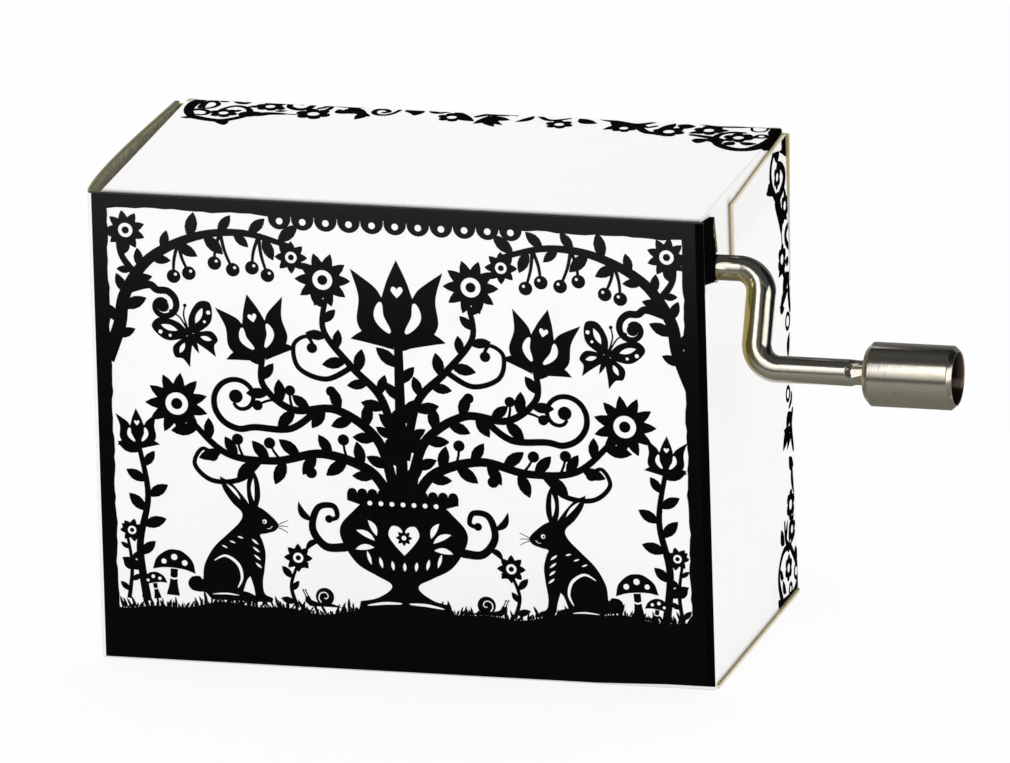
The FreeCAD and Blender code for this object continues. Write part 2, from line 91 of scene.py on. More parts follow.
# %% Put the camera at the photograph's angle
AIM = Vector((6.382, 0.0, 25.980)) * MM
AZIMUTH, ELEVATION, ROLL = math.radians(15.404), math.radians(17.107), math.radians(-1.648)
DISTANCE, LENS = 3.0, 1060.29


def new_object(name, data):
    """An object that holds the data, in the scene."""
    made = bpy.data.objects.new(name, data)
    bpy.context.scene.collection.objects.link(made)
    return made


towards_camera = Vector((
    math.sin(AZIMUTH) * math.cos(ELEVATION), -math.cos(AZIMUTH) * math.cos(ELEVATION), math.sin(ELEVATION)))
camera_data = bpy.data.cameras.new("photo_camera")
camera_data.lens = LENS
camera_data.sensor_width = 36.0
camera_data.clip_start = 0.01
camera_data.clip_end = 20.0
camera = new_object("photo_camera", camera_data)
level = (-towards_camera).to_track_quat("-Z", "Y").to_matrix()
camera.matrix_world = Matrix.Translation(AIM + towards_camera * DISTANCE) @ (
    level @ Matrix.Rotation(ROLL, 3, "Z")).to_4x4()
bpy.context.scene.camera = camera
bpy.context.scene.view_settings.view_transform = "Standard"
print("camera at", [round(value, 3) for value in camera.matrix_world.translation])

# %% [markdown]
# ## Helpers for nodes and meshes
#
# Shader trees and Geometry Nodes trees are both built by adding nodes and joining sockets, so one helper does it
# for both, and a few short ones do the arithmetic between sockets. The last one turns a mesh in millimetres into a
# finished piece: it scales the mesh itself, keeps the object at the origin, and lets it ride on its CAD body.

# %% Helpers that everything below uses
def add(tree, kind, inputs=None, **settings):
    """Adds a node to a tree; inputs maps a socket's name or number to a value or to another node's output."""
    made = tree.nodes.new(kind)
    for key, value in settings.items():
        setattr(made, key, value)
    for key, value in (inputs or {}).items():
        if isinstance(value, bpy.types.NodeSocket):
            tree.links.new(value, made.inputs[key])
        else:
            made.inputs[key].default_value = value
    return made


def sums(tree, operation, first, second):
    """One Math node; first and second are sockets or numbers."""
    return add(tree, "ShaderNodeMath", {0: first, 1: second}, operation=operation).outputs[0]


def times(tree, first, *others):
    """The product of sockets and numbers."""
    for other in others:
        first = sums(tree, "MULTIPLY", first, other)
    return first


def between(tree, value, low, high, out_low=0.0, out_high=1.0):
    """Value mapped from low..high to out_low..out_high, and held at the ends."""
    return add(tree, "ShaderNodeMapRange", {
        "Value": value, "From Min": low, "From Max": high, "To Min": out_low, "To Max": out_high}).outputs["Result"]


def here(tree, axis=None):
    """Object coordinates, or one axis of them."""
    place = add(tree, "ShaderNodeTexCoord").outputs["Object"]
    return add(tree, "ShaderNodeSeparateXYZ", {0: place}).outputs[axis] if axis else place


def finish(name, colour, roughness, metallic=0.0, specular=0.5):
    """A material with its tree and its Principled shader."""
    material = bpy.data.materials.new(name)
    material.use_nodes = True
    shader = material.node_tree.nodes["Principled BSDF"]
    shader.inputs["Base Color"].default_value = (*colour, 1)
    shader.inputs["Roughness"].default_value = roughness
    shader.inputs["Metallic"].default_value = metallic
    shader.inputs["Specular IOR Level"].default_value = specular
    return material, material.node_tree, shader


def finish_piece(name, bm, materials, body="carton", replaced=(), sharp=35):
    """Scales a bmesh from millimetres to metres and makes it a piece that rides on a body."""
    bmesh.ops.scale(bm, vec=(MM, MM, MM), verts=bm.verts)
    mesh = bpy.data.meshes.new(name)
    bm.to_mesh(mesh)
    bm.free()
    for material in materials:
        mesh.materials.append(material)
    mesh.shade_smooth()
    mesh.set_sharp_from_angle(angle=math.radians(sharp))
    piece = new_object(name, mesh)
    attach(piece, body)
    if replaced:
        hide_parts(*replaced)
    return piece


# %% [markdown]
# ## The studio
#
# The photograph has a plain white ground and very even light. The world is white, and the floor shows as pure white
# to the camera and to reflections, through the Light Path node, while it still takes the object's soft shadow. The
# two lamps are weak, so that the white card stays just below white and keeps its shape.

# %% White floor, white world and soft lamps
FLOOR_GAP = 0.00005
LAMP_SIZE, LAMP_AIM = 0.5, Vector((0, 0, 0.02))


def seen_ray(tree):
    """1 for a ray from the camera, from a mirror or through glass, and 0 for one that carries light."""
    path = add(tree, "ShaderNodeLightPath").outputs
    seen = sums(tree, "MAXIMUM", path["Is Camera Ray"], path["Is Glossy Ray"])
    return sums(tree, "MAXIMUM", seen, path["Is Transmission Ray"])


def plane(name, corners, material, only_mirrors=True):
    """One flat stage piece through four corners in metres; only_mirrors hides it from all but reflections."""
    mesh = bpy.data.meshes.new(name)
    mesh.from_pydata(corners, [], [(0, 1, 2, 3)])
    mesh.materials.append(material)
    piece = new_object(name, mesh)
    if only_mirrors:
        for rays in ("camera", "diffuse", "transmission", "volume_scatter", "shadow"):
            setattr(piece, "visible_" + rays, False)


def level_plane(name, x, y, height, material, only_mirrors=True):
    """A level stage piece; x and y are where it starts and ends along each axis."""
    corners = [(x[0], y[0], height), (x[1], y[0], height), (x[1], y[1], height), (x[0], y[1], height)]
    plane(name, corners, material, only_mirrors)


def soft_lamp(name, place, watts):
    """A square soft lamp that points at the foot of the carton; its place is in metres."""
    lamp = bpy.data.lights.new(name, "AREA")
    lamp.shape = "SQUARE"
    lamp.size = LAMP_SIZE
    lamp.energy = watts
    piece = new_object(name, lamp)
    turned = (LAMP_AIM - Vector(place)).to_track_quat("-Z", "Y").to_matrix().to_4x4()
    piece.matrix_world = Matrix.Translation(place) @ turned
    piece.visible_glossy = False


floor_paint, tree, paint = finish("floor_white", (0.93, 0.93, 0.93), 0.9, specular=0.0)
glow = add(tree, "ShaderNodeEmission", {"Color": (1, 1, 1, 1), "Strength": 1.0})
mixed = add(tree, "ShaderNodeMixShader", {
    0: times(tree, seen_ray(tree), 0.85), 1: paint.outputs[0], 2: glow.outputs[0]})
tree.links.new(mixed.outputs[0], tree.nodes["Material Output"].inputs["Surface"])
level_plane("studio_floor", (-6, 6), (-6, 6), -FLOOR_GAP, floor_paint, only_mirrors=False)

world = bpy.data.worlds.new("studio_world")
world.use_nodes = True
world.node_tree.nodes["Background"].inputs["Color"].default_value = (1, 1, 1, 1)
bpy.context.scene.world = world
soft_lamp("key_lamp", (-0.25, -0.85, 0.25), 0.35)
soft_lamp("side_lamp", (0.9, -0.30, 0.12), 0.9)

# %% [markdown]
# A bright metal rod shows nothing but what stands round it, so a product photographer draws its bands with cards
# and windows. This studio does the same: a tall bright window in front, a second one on the right, dark cards
# between and above them, and an olive table. Only mirror rays see them, so they take no light from the white card.
# A ramp along one axis gives each its soft changes.

# %% Windows and cards that only the metal sees
def shine(name, stops, axis="Z"):
    """Emission that follows (place in metres, grey or colour) stops along an axis of the stage."""
    material, tree, shader = finish(name, (0, 0, 0), 1.0)
    tree.nodes.remove(shader)
    start, end = stops[0][0], stops[-1][0]
    ramp = add(tree, "ShaderNodeValToRGB", {"Fac": between(tree, here(tree, axis), start, end)})
    marks = ramp.color_ramp.elements
    for number, (at, value) in enumerate(stops):
        share = (at - start) / (end - start)
        mark = marks[number] if number < 2 else marks.new(share)
        mark.position = share
        colour = value if isinstance(value, tuple) else (value, value, value * 0.93)
        mark.color = (*[part / 2 for part in colour], 1)
    light = add(tree, "ShaderNodeEmission", {"Color": ramp.outputs["Color"], "Strength": 2.0})
    tree.links.new(light.outputs[0], tree.nodes["Material Output"].inputs["Surface"])
    return material


def upright(name, start, end, low, high, material):
    """An upright card over the line from start to end, both (x, y)."""
    plane(name, [(*start, low), (*end, low), (*end, high), (*start, high)], material)


OVER_HANDLE = 0.30
handle_z = box_mm("crank_knob")[0].z * MM + 0.00325
level_plane("overhead_card", (-0.6, 0.6), (-0.235, 0.21), handle_z + OVER_HANDLE, shine("dark_ceiling", [
    (-0.235, 0.35), (-0.205, 0.12), (-0.11, 0.060), (-0.02, 0.082), (0.05, 0.068), (0.10, 0.050), (0.19, 0.026)],
    "Y"))
upright("rear_card", (-0.010, 0.12), (0.25, 0.12), -0.05, 0.235,
        shine("grey_rear", [(0.03, 0.23), (0.05, 0.22), (0.10, 0.16), (0.175, 0.052), (0.22, 0.026)]))
upright("window_card", (-0.31, -0.75), (0.14, -0.75), -0.02, 1.35,
        shine("bright_window", [(-0.02, 0.10), (0.050, 0.12), (0.070, 0.17), (0.112, 0.33), (0.158, 0.52),
                                (0.203, 0.70), (0.301, (1.06, 1.02, 0.96)), (0.40, (1.45, 1.43, 1.38)),
                                (0.50, (1.8, 1.8, 1.78))]))
upright("right_dark_card", (0.14, -0.75), (0.90, -0.75), -0.02, 1.35,
        shine("dark_olive_card", [(0.14, (0.32, 0.33, 0.27)), (0.20, (0.16, 0.17, 0.13)), (0.35, (0.12, 0.12, 0.09)),
                                  (0.75, (0.13, 0.125, 0.11)), (0.90, 0.2)], "X"))
upright("right_window", (0.6, -0.40), (0.6, 0.01), 0.02, 0.30, shine("right_bright", [(0.0, 1.6), (0.3, 1.6)]))
upright("above_right_window", (0.6, -0.75), (0.6, 0.3), 0.30, 1.2, shine("right_dark", [(0.30, 0.03), (1.2, 0.03)]))
upright("right_card", (0.12, -0.002), (0.12, 0.30), 0.0, 0.20,
        shine("blue_black_card", [(0.0, (0.012, 0.016, 0.018)), (0.2, (0.012, 0.016, 0.018))]))
upright("left_card", (-0.31, -0.75), (-0.55, -0.10), -0.02, 1.0, shine("left_dark", [(0.0, 0.17), (1.0, 0.13)]))
table = shine("olive_table", [(-0.70, 0.10), (-0.45, 0.12), (-0.24, 0.25), (-0.174, 0.33), (-0.136, 0.37),
                              (-0.065, (0.31, 0.305, 0.27)), (-0.035, (0.235, 0.23, 0.20)),
                              (0.0, (0.20, 0.20, 0.165)), (0.03, (0.17, 0.17, 0.14))], "Y")
for name, x, y in (("table_front", (-0.7, 0.6), (-0.76, -0.016)), ("table_left", (-0.7, 0.034), (-0.016, 0.0)),
                   ("table_under_knob", (0.034, 0.090), (-0.016, 0.03))):
    level_plane(name, x, y, 0.0004, table)

# %% [markdown]
# ## Finishes
#
# Each finish is a small shader tree that reads Object coordinates, so its grain has a real size and stays in place
# when the part is turned or exported. Colours are written as they are read off a picture and turned into the
# linear values that the shader wants.

# %% Helpers for the finishes
def srgb(*picture):
    """A picture's colour, 0 to 255, as linear values."""
    shares = [value / 255 for value in picture]
    return tuple(share / 12.92 if share <= 0.04045 else ((share + 0.055) / 1.055) ** 2.4 for share in shares)


def vectors(tree, operation, first, second):
    """One Vector Math node: its number for a distance or a dot product, and else its vector."""
    made = add(tree, "ShaderNodeVectorMath", {0: first, 1: second}, operation=operation)
    return made.outputs["Value" if operation in ("DISTANCE", "DOT_PRODUCT") else "Vector"]


def attribute(tree, name):
    """A number that the mesh holds at each vertex."""
    return add(tree, "ShaderNodeAttribute", attribute_name=name).outputs["Fac"]


def grain(tree, size, stretch=(1, 1, 1), detail=3.0, rough=0.6):
    """Noise of about 0 to 1 whose spots are size millimetres across; stretch above 1 packs them closer."""
    return add(tree, "ShaderNodeTexNoise", {
        "Vector": vectors(tree, "MULTIPLY", here(tree), stretch), "Scale": 1 / (size * MM), "Detail": detail,
        "Roughness": rough}).outputs["Fac"]


def blend(tree, amount, first, second):
    """Colour between first and second; each is a colour or a socket."""
    pair = [value if isinstance(value, bpy.types.NodeSocket) else (*value, 1) for value in (first, second)]
    return add(tree, "ShaderNodeMixRGB", {"Fac": amount, "Color1": pair[0], "Color2": pair[1]}).outputs["Color"]


def relief(tree, shader, height, depth, strength):
    """Bump from a height socket; depth is the height of a full step in millimetres."""
    bump = add(tree, "ShaderNodeBump", {"Height": height, "Distance": depth * MM, "Strength": strength})
    tree.links.new(bump.outputs["Normal"], shader.inputs["Normal"])


# %% [markdown]
# ### Coated card, its cut edge and its grey back
#
# The carton is white lined chipboard: a smooth white coat outside, a beige core that shows wherever the card is cut,
# and a plain grey back. A wall gets one material for each of the three, and a little wear where corners and folds
# rub. The wear is a distance from a named point, broken up by grain, because a real worn corner has a ragged rim.
# Soft grey lines of painted shade can be laid along creases and gaps, where shade falls.

# %% The card's three faces
WHITE_COAT = (0.955, 0.955, 0.952)
WORN_COAT = srgb(180, 172, 138)
CRACKED_FOLD = srgb(170, 168, 160)
# Grey for shade painted along creases and gaps.
PAINTED_SHADE_GREY = srgb(92, 86, 82)


def near_point(tree, place, radius):
    """1 close to a point and 0 past its radius, both in millimetres."""
    gap = vectors(tree, "DISTANCE", here(tree), [value * MM for value in place])
    return between(tree, gap, radius * MM, radius * MM * 0.35)


def near_line(tree, start, end, half_width, core=0.5):
    """1 up to a core share of half width from a line between two points, and 0 past it, all in millimetres."""
    run = Vector(end) - Vector(start)
    way = run / run.length
    offset = vectors(tree, "SUBTRACT", here(tree), [value * MM for value in start])
    held = between(tree, vectors(tree, "DOT_PRODUCT", offset, way), 0.0, run.length * MM, 0.0, run.length * MM)
    foot = add(tree, "ShaderNodeVectorMath", {0: way, "Scale": held}, operation="SCALE")
    gap = vectors(tree, "DISTANCE", offset, foot.outputs[0])
    return between(tree, gap, half_width * MM, half_width * MM * core)


def card_coat(name, worn_points=(), worn_lines=(), line_colour=WORN_COAT, painted_shade_lines=()):
    """White coat with faint clouds; worn_points are (place, radius), worn_lines (start, end, half width).

    Painted shade lines are soft grey shade painted along creases and gaps: (start, end, half width, how dark from 0
    to 1).
    """
    material, tree, shader = finish(name, WHITE_COAT, 0.5, specular=0.10)
    colour = blend(tree, between(tree, grain(tree, 4.0), 0.35, 0.65), WHITE_COAT,
                   [value * 0.985 for value in WHITE_COAT])
    ragged = grain(tree, 0.35, detail=4.0, rough=0.7)
    # Painted shade: soft grey lines where creases and gaps lie in shade.
    for start, end, half_width, dark in painted_shade_lines:
        near = near_line(tree, start, end, half_width, 0.0)
        soft = times(tree, near, near, between(tree, ragged, 0.2, 0.8, 0.8, 1.2), dark)
        colour = blend(tree, soft, colour, PAINTED_SHADE_GREY)
    rubbed = sums(tree, "ADD", times(tree, attribute(tree, "wear"), 0.55), ragged)
    colour = blend(tree, between(tree, rubbed, 1.02, 1.30, 0, 0.30), colour, CRACKED_FOLD)
    for place, radius in worn_points:
        patch = sums(tree, "ADD", near_point(tree, place, radius), ragged)
        colour = blend(tree, between(tree, patch, 0.82, 1.05, 0, 0.9), colour, WORN_COAT)
    for start, end, half_width in worn_lines:
        strip = sums(tree, "ADD", near_line(tree, start, end, half_width), ragged)
        tone = blend(tree, between(tree, grain(tree, 0.25, detail=4.0), 0.42, 0.58), line_colour,
                     [value * 0.45 for value in line_colour])
        colour = blend(tree, between(tree, strip, 0.80, 0.95), colour, tone)
    tree.links.new(colour, shader.inputs["Base Color"])
    tree.links.new(between(tree, grain(tree, 0.6), 0.3, 0.7, 0.44, 0.56), shader.inputs["Roughness"])
    relief(tree, shader, grain(tree, 0.9, detail=5.0), 0.012, 0.6)
    return material


# %% The core at a cut edge, and the grey back
def cut_edge(name, light, middle, dark, outside=(0.86, 0.84, 0.78)):
    """The core seen at a cut: a thin line of coat outside (ply 0), fibres, darker towards the back (ply 1)."""
    material, tree, shader = finish(name, light, 0.85, specular=0.2)
    ply = attribute(tree, "ply")
    fibres = grain(tree, 0.22, stretch=(1, 1, 1.6), detail=4.0, rough=0.75)
    shifted = sums(tree, "ADD", ply, times(tree, sums(tree, "SUBTRACT", fibres, 0.5), 0.9))
    core = blend(tree, between(tree, shifted, 0.35, 0.70), light, middle)
    core = blend(tree, between(tree, shifted, 0.72, 1.02), core, dark)
    ragged = sums(tree, "ADD", ply, times(tree, fibres, 0.10))
    tree.links.new(blend(tree, between(tree, ragged, 0.12, 0.17), outside, core), shader.inputs["Base Color"])
    relief(tree, shader, fibres, 0.05, 0.8)
    return material


def chipboard(name, colour, size, dark, light, deep, strength):
    """Bare grey board: light and dark flecks whose size is in millimetres."""
    material, tree, shader = finish(name, colour, 0.9, specular=0.2)
    flecks = grain(tree, size, detail=5.0, rough=0.8)
    tree.links.new(blend(tree, between(tree, flecks, 0.38, 0.62), dark, light), shader.inputs["Base Color"])
    relief(tree, shader, flecks, deep, strength)
    return material


coat = card_coat("card_white_coat")
raw_edge = cut_edge("card_cut_edge", srgb(232, 227, 206), srgb(196, 182, 142), srgb(122, 102, 72))
# A paler, even core for the back wall's proud edge, which turns pale grey below 42 mm up the wall.
pale_cut_edge = cut_edge("card_cut_edge_pale", srgb(204, 195, 152), srgb(186, 176, 130), srgb(176, 166, 122))
tree = pale_cut_edge.node_tree
edge_colour = tree.nodes["Principled BSDF"].inputs["Base Color"]
upper_end = between(tree, here(tree, "Z"), 41.6 * MM, 42.4 * MM)
tree.links.new(blend(tree, upper_end, srgb(204, 206, 200), edge_colour.links[0].from_socket), edge_colour)
# A dark cut edge, part ink and part painted shade: it darkens the front's top edge below the lid and the cut round
# the shaft.
ink_and_shade_edge = cut_edge("card_cut_edge_ink_and_shade", srgb(60, 56, 54), srgb(44, 41, 39), srgb(34, 31, 29), srgb(30, 29, 28))
# The left wall's cut edge is painted dark olive as the shade in the gap beside the lid.
shaded_edge = cut_edge("card_cut_edge_shaded", srgb(128, 128, 92), srgb(96, 98, 68), srgb(70, 72, 48))
grey_back = chipboard("card_grey_back", srgb(150, 146, 124), 0.5, srgb(118, 114, 92), srgb(168, 163, 140), 0.03, 0.7)

# %% [markdown]
# ### Black print
#
# The black is a thin film of dead matt ink. Close up it isn't even: the card's fibres show as fine lighter streaks,
# so the ink gets that grain in its colour. On the front it grows greyer towards the top edge, which is painted light.
# Round the sharp fold and on the tab it is blacker, which is painted shade.

# %% Printing ink
INK_BLACK, INK_GREY, INK_PAINTED_LIGHT, INK_PAINTED_SHADE = srgb(9, 9, 9), srgb(17, 17, 17), srgb(36, 36, 36), srgb(6, 6, 7)
BLACKER_FROM = RIGHT - 0.95
ink, tree, shader = finish("printed_black", INK_BLACK, 0.6, specular=0.0)
fine = grain(tree, 0.16, stretch=(0.5, 1, 1), detail=3.0, rough=0.7)
speck = times(tree, between(tree, fine, 0.45, 0.75), between(tree, grain(tree, 3.0), 0.3, 0.7, 0.5, 1.0))
# Painted shade makes the ink blacker from the right fold onwards, on the tab and the right wall; painted light greys
# the front's black towards its top.
fold_strip = between(tree, here(tree, "X"), BLACKER_FROM * MM, (BLACKER_FROM + 0.12) * MM)
on_front_wall = between(tree, here(tree, "Y"), (FRONT + 0.10) * MM, (FRONT + 0.02) * MM)
risen = sums(tree, "POWER", between(tree, here(tree, "Z"), 20 * MM, 49 * MM), 3.0)
even = blend(tree, times(tree, risen, on_front_wall), blend(tree, speck, INK_BLACK, INK_GREY), INK_PAINTED_LIGHT)
tree.links.new(blend(tree, fold_strip, even, INK_PAINTED_SHADE), shader.inputs["Base Color"])
relief(tree, shader, fine, 0.006, 0.6)
print("card and ink finishes ready")

# %% [markdown]
# ## The carton's walls
#
# The real carton is one blank of card, scored and folded. It could be one mesh, but the walls are separate
# nodes in the frame, so each wall here is a closed slab of the card's real thickness. Its outline is drawn flat, a
# small function says where that flat drawing stands, and only the edges that are folds are rounded. A cut edge
# stays square and shows the core. Two numbers go with each vertex: ply says how deep in the card it lies, and wear
# marks the ridge of a fold.

# %% One wall of card from its outline
COATED, CUT, BACKED, INK_AND_SHADE_CUT = 0, 1, 2, 3
FOLD_ARC = 5
SAME_LEVEL = 0.002


def box_outline(node, first, second):
    """The node's box as an outline in two of its axes."""
    low, high = box_mm(node)
    return [(low[first], low[second]), (high[first], low[second]), (high[first], high[second]),
            (low[first], high[second])]


def standing(node, axis, outwards):
    """Where a wall's flat drawing stands: its coated face looks along an axis, outwards +1 or -1."""
    low, high = box_mm(node)
    face = high[axis] if outwards > 0 else low[axis]

    def place(a, b, deep=0.0):
        point = [a, b]
        point.insert(axis, face - outwards * deep)
        return Vector(point)
    return place


def card_wall(name, node, place, outline, folds=None, materials=None):
    """A slab of card; folds maps the number of an outline edge to the radius of its rounding."""
    folds = folds or {}
    bm = bmesh.new()
    ply = bm.verts.layers.float.new("ply")
    wear = bm.verts.layers.float.new("wear")
    outer = [bm.verts.new(place(a, b)) for a, b in outline]
    inner = [bm.verts.new(place(a, b, BOARD)) for a, b in outline]
    for vertex in inner:
        vertex[ply] = 1.0
    bm.faces.new(outer).material_index = COATED
    bm.faces.new(inner[::-1]).material_index = BACKED
    ridges = {}
    for start in range(len(outline)):
        end = (start + 1) % len(outline)
        side = bm.faces.new((outer[end], outer[start], inner[start], inner[end]))
        side.material_index = COATED if start in folds else CUT
        if start in folds:
            ridges[start] = bm.edges.get((outer[start], outer[end]))
    bmesh.ops.recalc_face_normals(bm, faces=bm.faces)
    for radius in sorted(set(folds.values())):
        edges = [edge for start, edge in ridges.items() if folds[start] == radius and edge.is_valid]
        bmesh.ops.bevel(bm, geom=edges, offset=radius, segments=FOLD_ARC, profile=0.5, affect="EDGES")
    inwards = place(0, 0, 1) - place(0, 0)
    flat_levels = (0.0, BOARD, *folds.values())
    for vertex in bm.verts:
        deep = (vertex.co - place(0, 0)).dot(inwards)
        vertex[wear] = 0.0 if any(abs(deep - level) < SAME_LEVEL for level in flat_levels) else 1.0
    return finish_piece(name, bm, materials or [coat, raw_edge, grey_back], replaced=[node])


on_front, on_back = standing("front_panel", 1, -1), standing("back_panel", 1, 1)
on_right, on_lid = standing("right_panel", 0, 1), standing("lid_panel", 2, 1)

# %% [markdown]
# ### Front, back and lid
#
# The front wall ends in a cut edge at the top, a hair below the lid, and is folded on its other sides. The right
# fold is sharp and the left one soft, as the photograph shows. The lid is folded on all four sides, and its two
# rear corners are rubbed down to the core.

# %% Front, back, bottom and lid
SOFT_FOLD, FOOT_FOLD, SHARP_FOLD = 0.40, 0.12, 0.05
SHAFT_Y, SHAFT_Z = FRONT + 4.95, TOP - 6.1
# Painted shade on the front: grey lines along the left fold, along the foot, and down the right fold beside the
# shaft.
front_coat = card_coat("front_white_coat", painted_shade_lines=[
    ((LEFT - 0.1, FRONT, 0), (LEFT - 0.1, FRONT, TOP), 0.35, 0.5),
    ((LEFT, FRONT, -0.05), (RIGHT, FRONT, -0.05), 0.22, 0.6),
    ((RIGHT, FRONT, SHAFT_Z - 1), (RIGHT, FRONT, TOP + 0.2), 0.45, 0.90),
])
card_wall("wall_front", "front_panel", on_front, box_outline("front_panel", 0, 2),
          {0: FOOT_FOLD, 1: SHARP_FOLD, 3: SOFT_FOLD}, [front_coat, ink_and_shade_edge, grey_back])

BACK_RUN = 16.0
card_wall("wall_back", "back_panel", on_back,
          [(RIGHT, 0), (LEFT, 0), (LEFT, UNDER_LID), (back_high.x, UNDER_LID), (RIGHT, TOP - BACK_RUN)],
          {0: FOOT_FOLD, 1: SOFT_FOLD, 4: 0.3}, [coat, pale_cut_edge, pale_cut_edge])
card_wall("wall_bottom", "bottom_panel", standing("bottom_panel", 2, -1), box_outline("bottom_panel", 0, 1))

# Besides the worn corners, painted shade greys the lid along its front fold and in a hairline along its right fold.
lid_coat = card_coat("lid_white_coat", worn_points=[
    ((lid_low.x + 0.2, BACK - 0.1, TOP - 0.1), 1.3),
    ((lid_high.x - 0.4, BACK - 0.1, TOP - 0.1), 1.3),
    ((lid_low.x, lid_low.y, TOP), 0.6),
], painted_shade_lines=[
    ((lid_low.x, lid_low.y, TOP - 0.1), (lid_high.x, lid_low.y, TOP - 0.1), 1.35, 0.85),
    ((lid_high.x - 0.1, lid_low.y, TOP), (lid_high.x - 0.1, BACK, TOP), 0.16, 0.30),
])
LID_FRONT_FOLD, LID_SIDE_FOLD = 0.48, 0.15
card_wall("wall_lid", "lid_panel", on_lid, box_outline("lid_panel", 0, 1),
          {0: LID_FRONT_FOLD, 1: LID_SIDE_FOLD, 2: SOFT_FOLD, 3: LID_SIDE_FOLD}, [lid_coat, raw_edge, grey_back])

# %% [markdown]
# ### Right wall
#
# The maker cut a slot down from the top edge, so that the crank's shaft can be lifted in, and the narrow tab of
# card left in front of it is rubbed bare along its free edge. Around the shaft the slot ends in a half round.

# %% Right wall with its slot and tab
NOTCH_R = 1.55
SLOT_Y = FRONT + 11.9
TAB_TOP = (FRONT + 4.4, TOP - 0.7)
TAB_FOOT_ANGLE = 75.9
WALL_FRONT, WALL_REAR = FRONT + BOARD, BACK - BOARD
WALL_TOP_FRONT, WALL_TOP_REAR = TOP - 1.75, TOP - 0.55


def arc(centre, radius, first, last, count):
    """Points along an arc, angles in degrees."""
    turn = [math.radians(first + (last - first) * step / (count - 1)) for step in range(count)]
    return [(centre[0] + radius * math.cos(a), centre[1] + radius * math.sin(a)) for a in turn]


notch = arc((SHAFT_Y, SHAFT_Z), NOTCH_R, 270, TAB_FOOT_ANGLE, 22)
tab_foot = notch[-1]
right_outline = [
    (WALL_FRONT, BOARD), (WALL_REAR, BOARD), (WALL_REAR, WALL_TOP_REAR), (SLOT_Y, WALL_TOP_FRONT),
    (SLOT_Y, SHAFT_Z - 1.8), *notch, TAB_TOP, (WALL_FRONT, TOP - 0.2),
]
# Painted shade: a grey band along the wall's foot. The worn line is the tab's rubbed edge.
right_coat = card_coat(
    "right_white_coat",
    worn_lines=[((RIGHT, *tab_foot), (RIGHT, *TAB_TOP), 1.6)],
    line_colour=srgb(136, 126, 92),
    painted_shade_lines=[((RIGHT, WALL_FRONT, BOARD - 0.1), (RIGHT, BACK, BOARD - 0.1), 0.75, 0.45)],
)
wall_right = card_wall("wall_right", "right_panel", on_right, right_outline,
                       materials=[right_coat, raw_edge, grey_back, ink_and_shade_edge])
axis_point = Vector((RIGHT, SHAFT_Y, SHAFT_Z)) * MM
# The cut faces round the shaft take the dark edge, as painted shade in the gap round it.
for face in wall_right.data.polygons:
    away = face.center - axis_point
    if face.material_index == CUT and math.hypot(away.y, away.z) < (NOTCH_R + 0.1) * MM:
        face.material_index = INK_AND_SHADE_CUT

# %% [markdown]
# The crank's bends sit so close to this wall that they mirror its slot as a dark hole. Mirrors are given glowing
# cards instead of the wall, which paint its reflection in the wire: one for the wall and one for the tab, grey below
# the shaft and dark above it, and a slanting one that paints the bright window on as a highlight.

# %% What mirrors see instead of the right wall
wall_right.visible_glossy = False
MIRRORED_X = (RIGHT + 0.15) * MM
SEAM_Y, CARD_TOP = -0.0132, 0.0489
shaft = SHAFT_Z * MM
# Painted reflection of the wall: grey below the shaft and dark above it.
for name, start, end, stops in (
        ("wall_stand_in", SEAM_Y, 0.016, [
            (0.0, 0.66), (shaft - 0.0005, 0.66), (shaft + 0.0003, 0.09), (0.0485, 0.09)]),
        ("tab_stand_in", FRONT * MM, SEAM_Y, [
            (0.0, 0.66), (shaft - 0.0024, 0.66), (shaft - 0.0022, 0.25), (shaft - 0.0004, 0.32),
            (shaft + 0.0003, 0.09), (CARD_TOP, 0.09)])):
    upright(name, (MIRRORED_X, start), (MIRRORED_X, end), stops[0][0], stops[-1][0], shine(name + "_light", stops))
# A painted highlight: a bright card that lays the window's light on the wire.
slanting = [(-0.0129, shaft + 0.0003), (FRONT * MM, shaft + 0.0003), (FRONT * MM, CARD_TOP), (-0.0150, CARD_TOP)]
plane("window_carried_on", [(MIRRORED_X + 0.00002, y, z) for y, z in slanting],
      shine("window_on_tab", [(0.043, 1.5), (0.049, 1.7)]))

# %% [markdown]
# ### Left wall
#
# The left wall isn't glued to the lid, and it has sprung outwards along its top edge, so a dark gap shows beside
# the lid. A flat slab can't bulge, so this wall is a grid of small faces whose bulge grows towards the top and is
# largest near the front. That is two lines of arithmetic, which keeps the shape smooth.

# %% Bulging left wall
LEFT_TOP = box_mm("left_panel")[1].z
GRID_Y, GRID_Z = 28, 20


def bulge(y, z):
    """How far the wall stands out at a point, in millimetres."""
    along = (y - WALL_FRONT) / (WALL_REAR - WALL_FRONT)
    return 2.35 * along ** 0.55 * (1 - along) ** 1.2 * (z / LEFT_TOP) ** 1.7


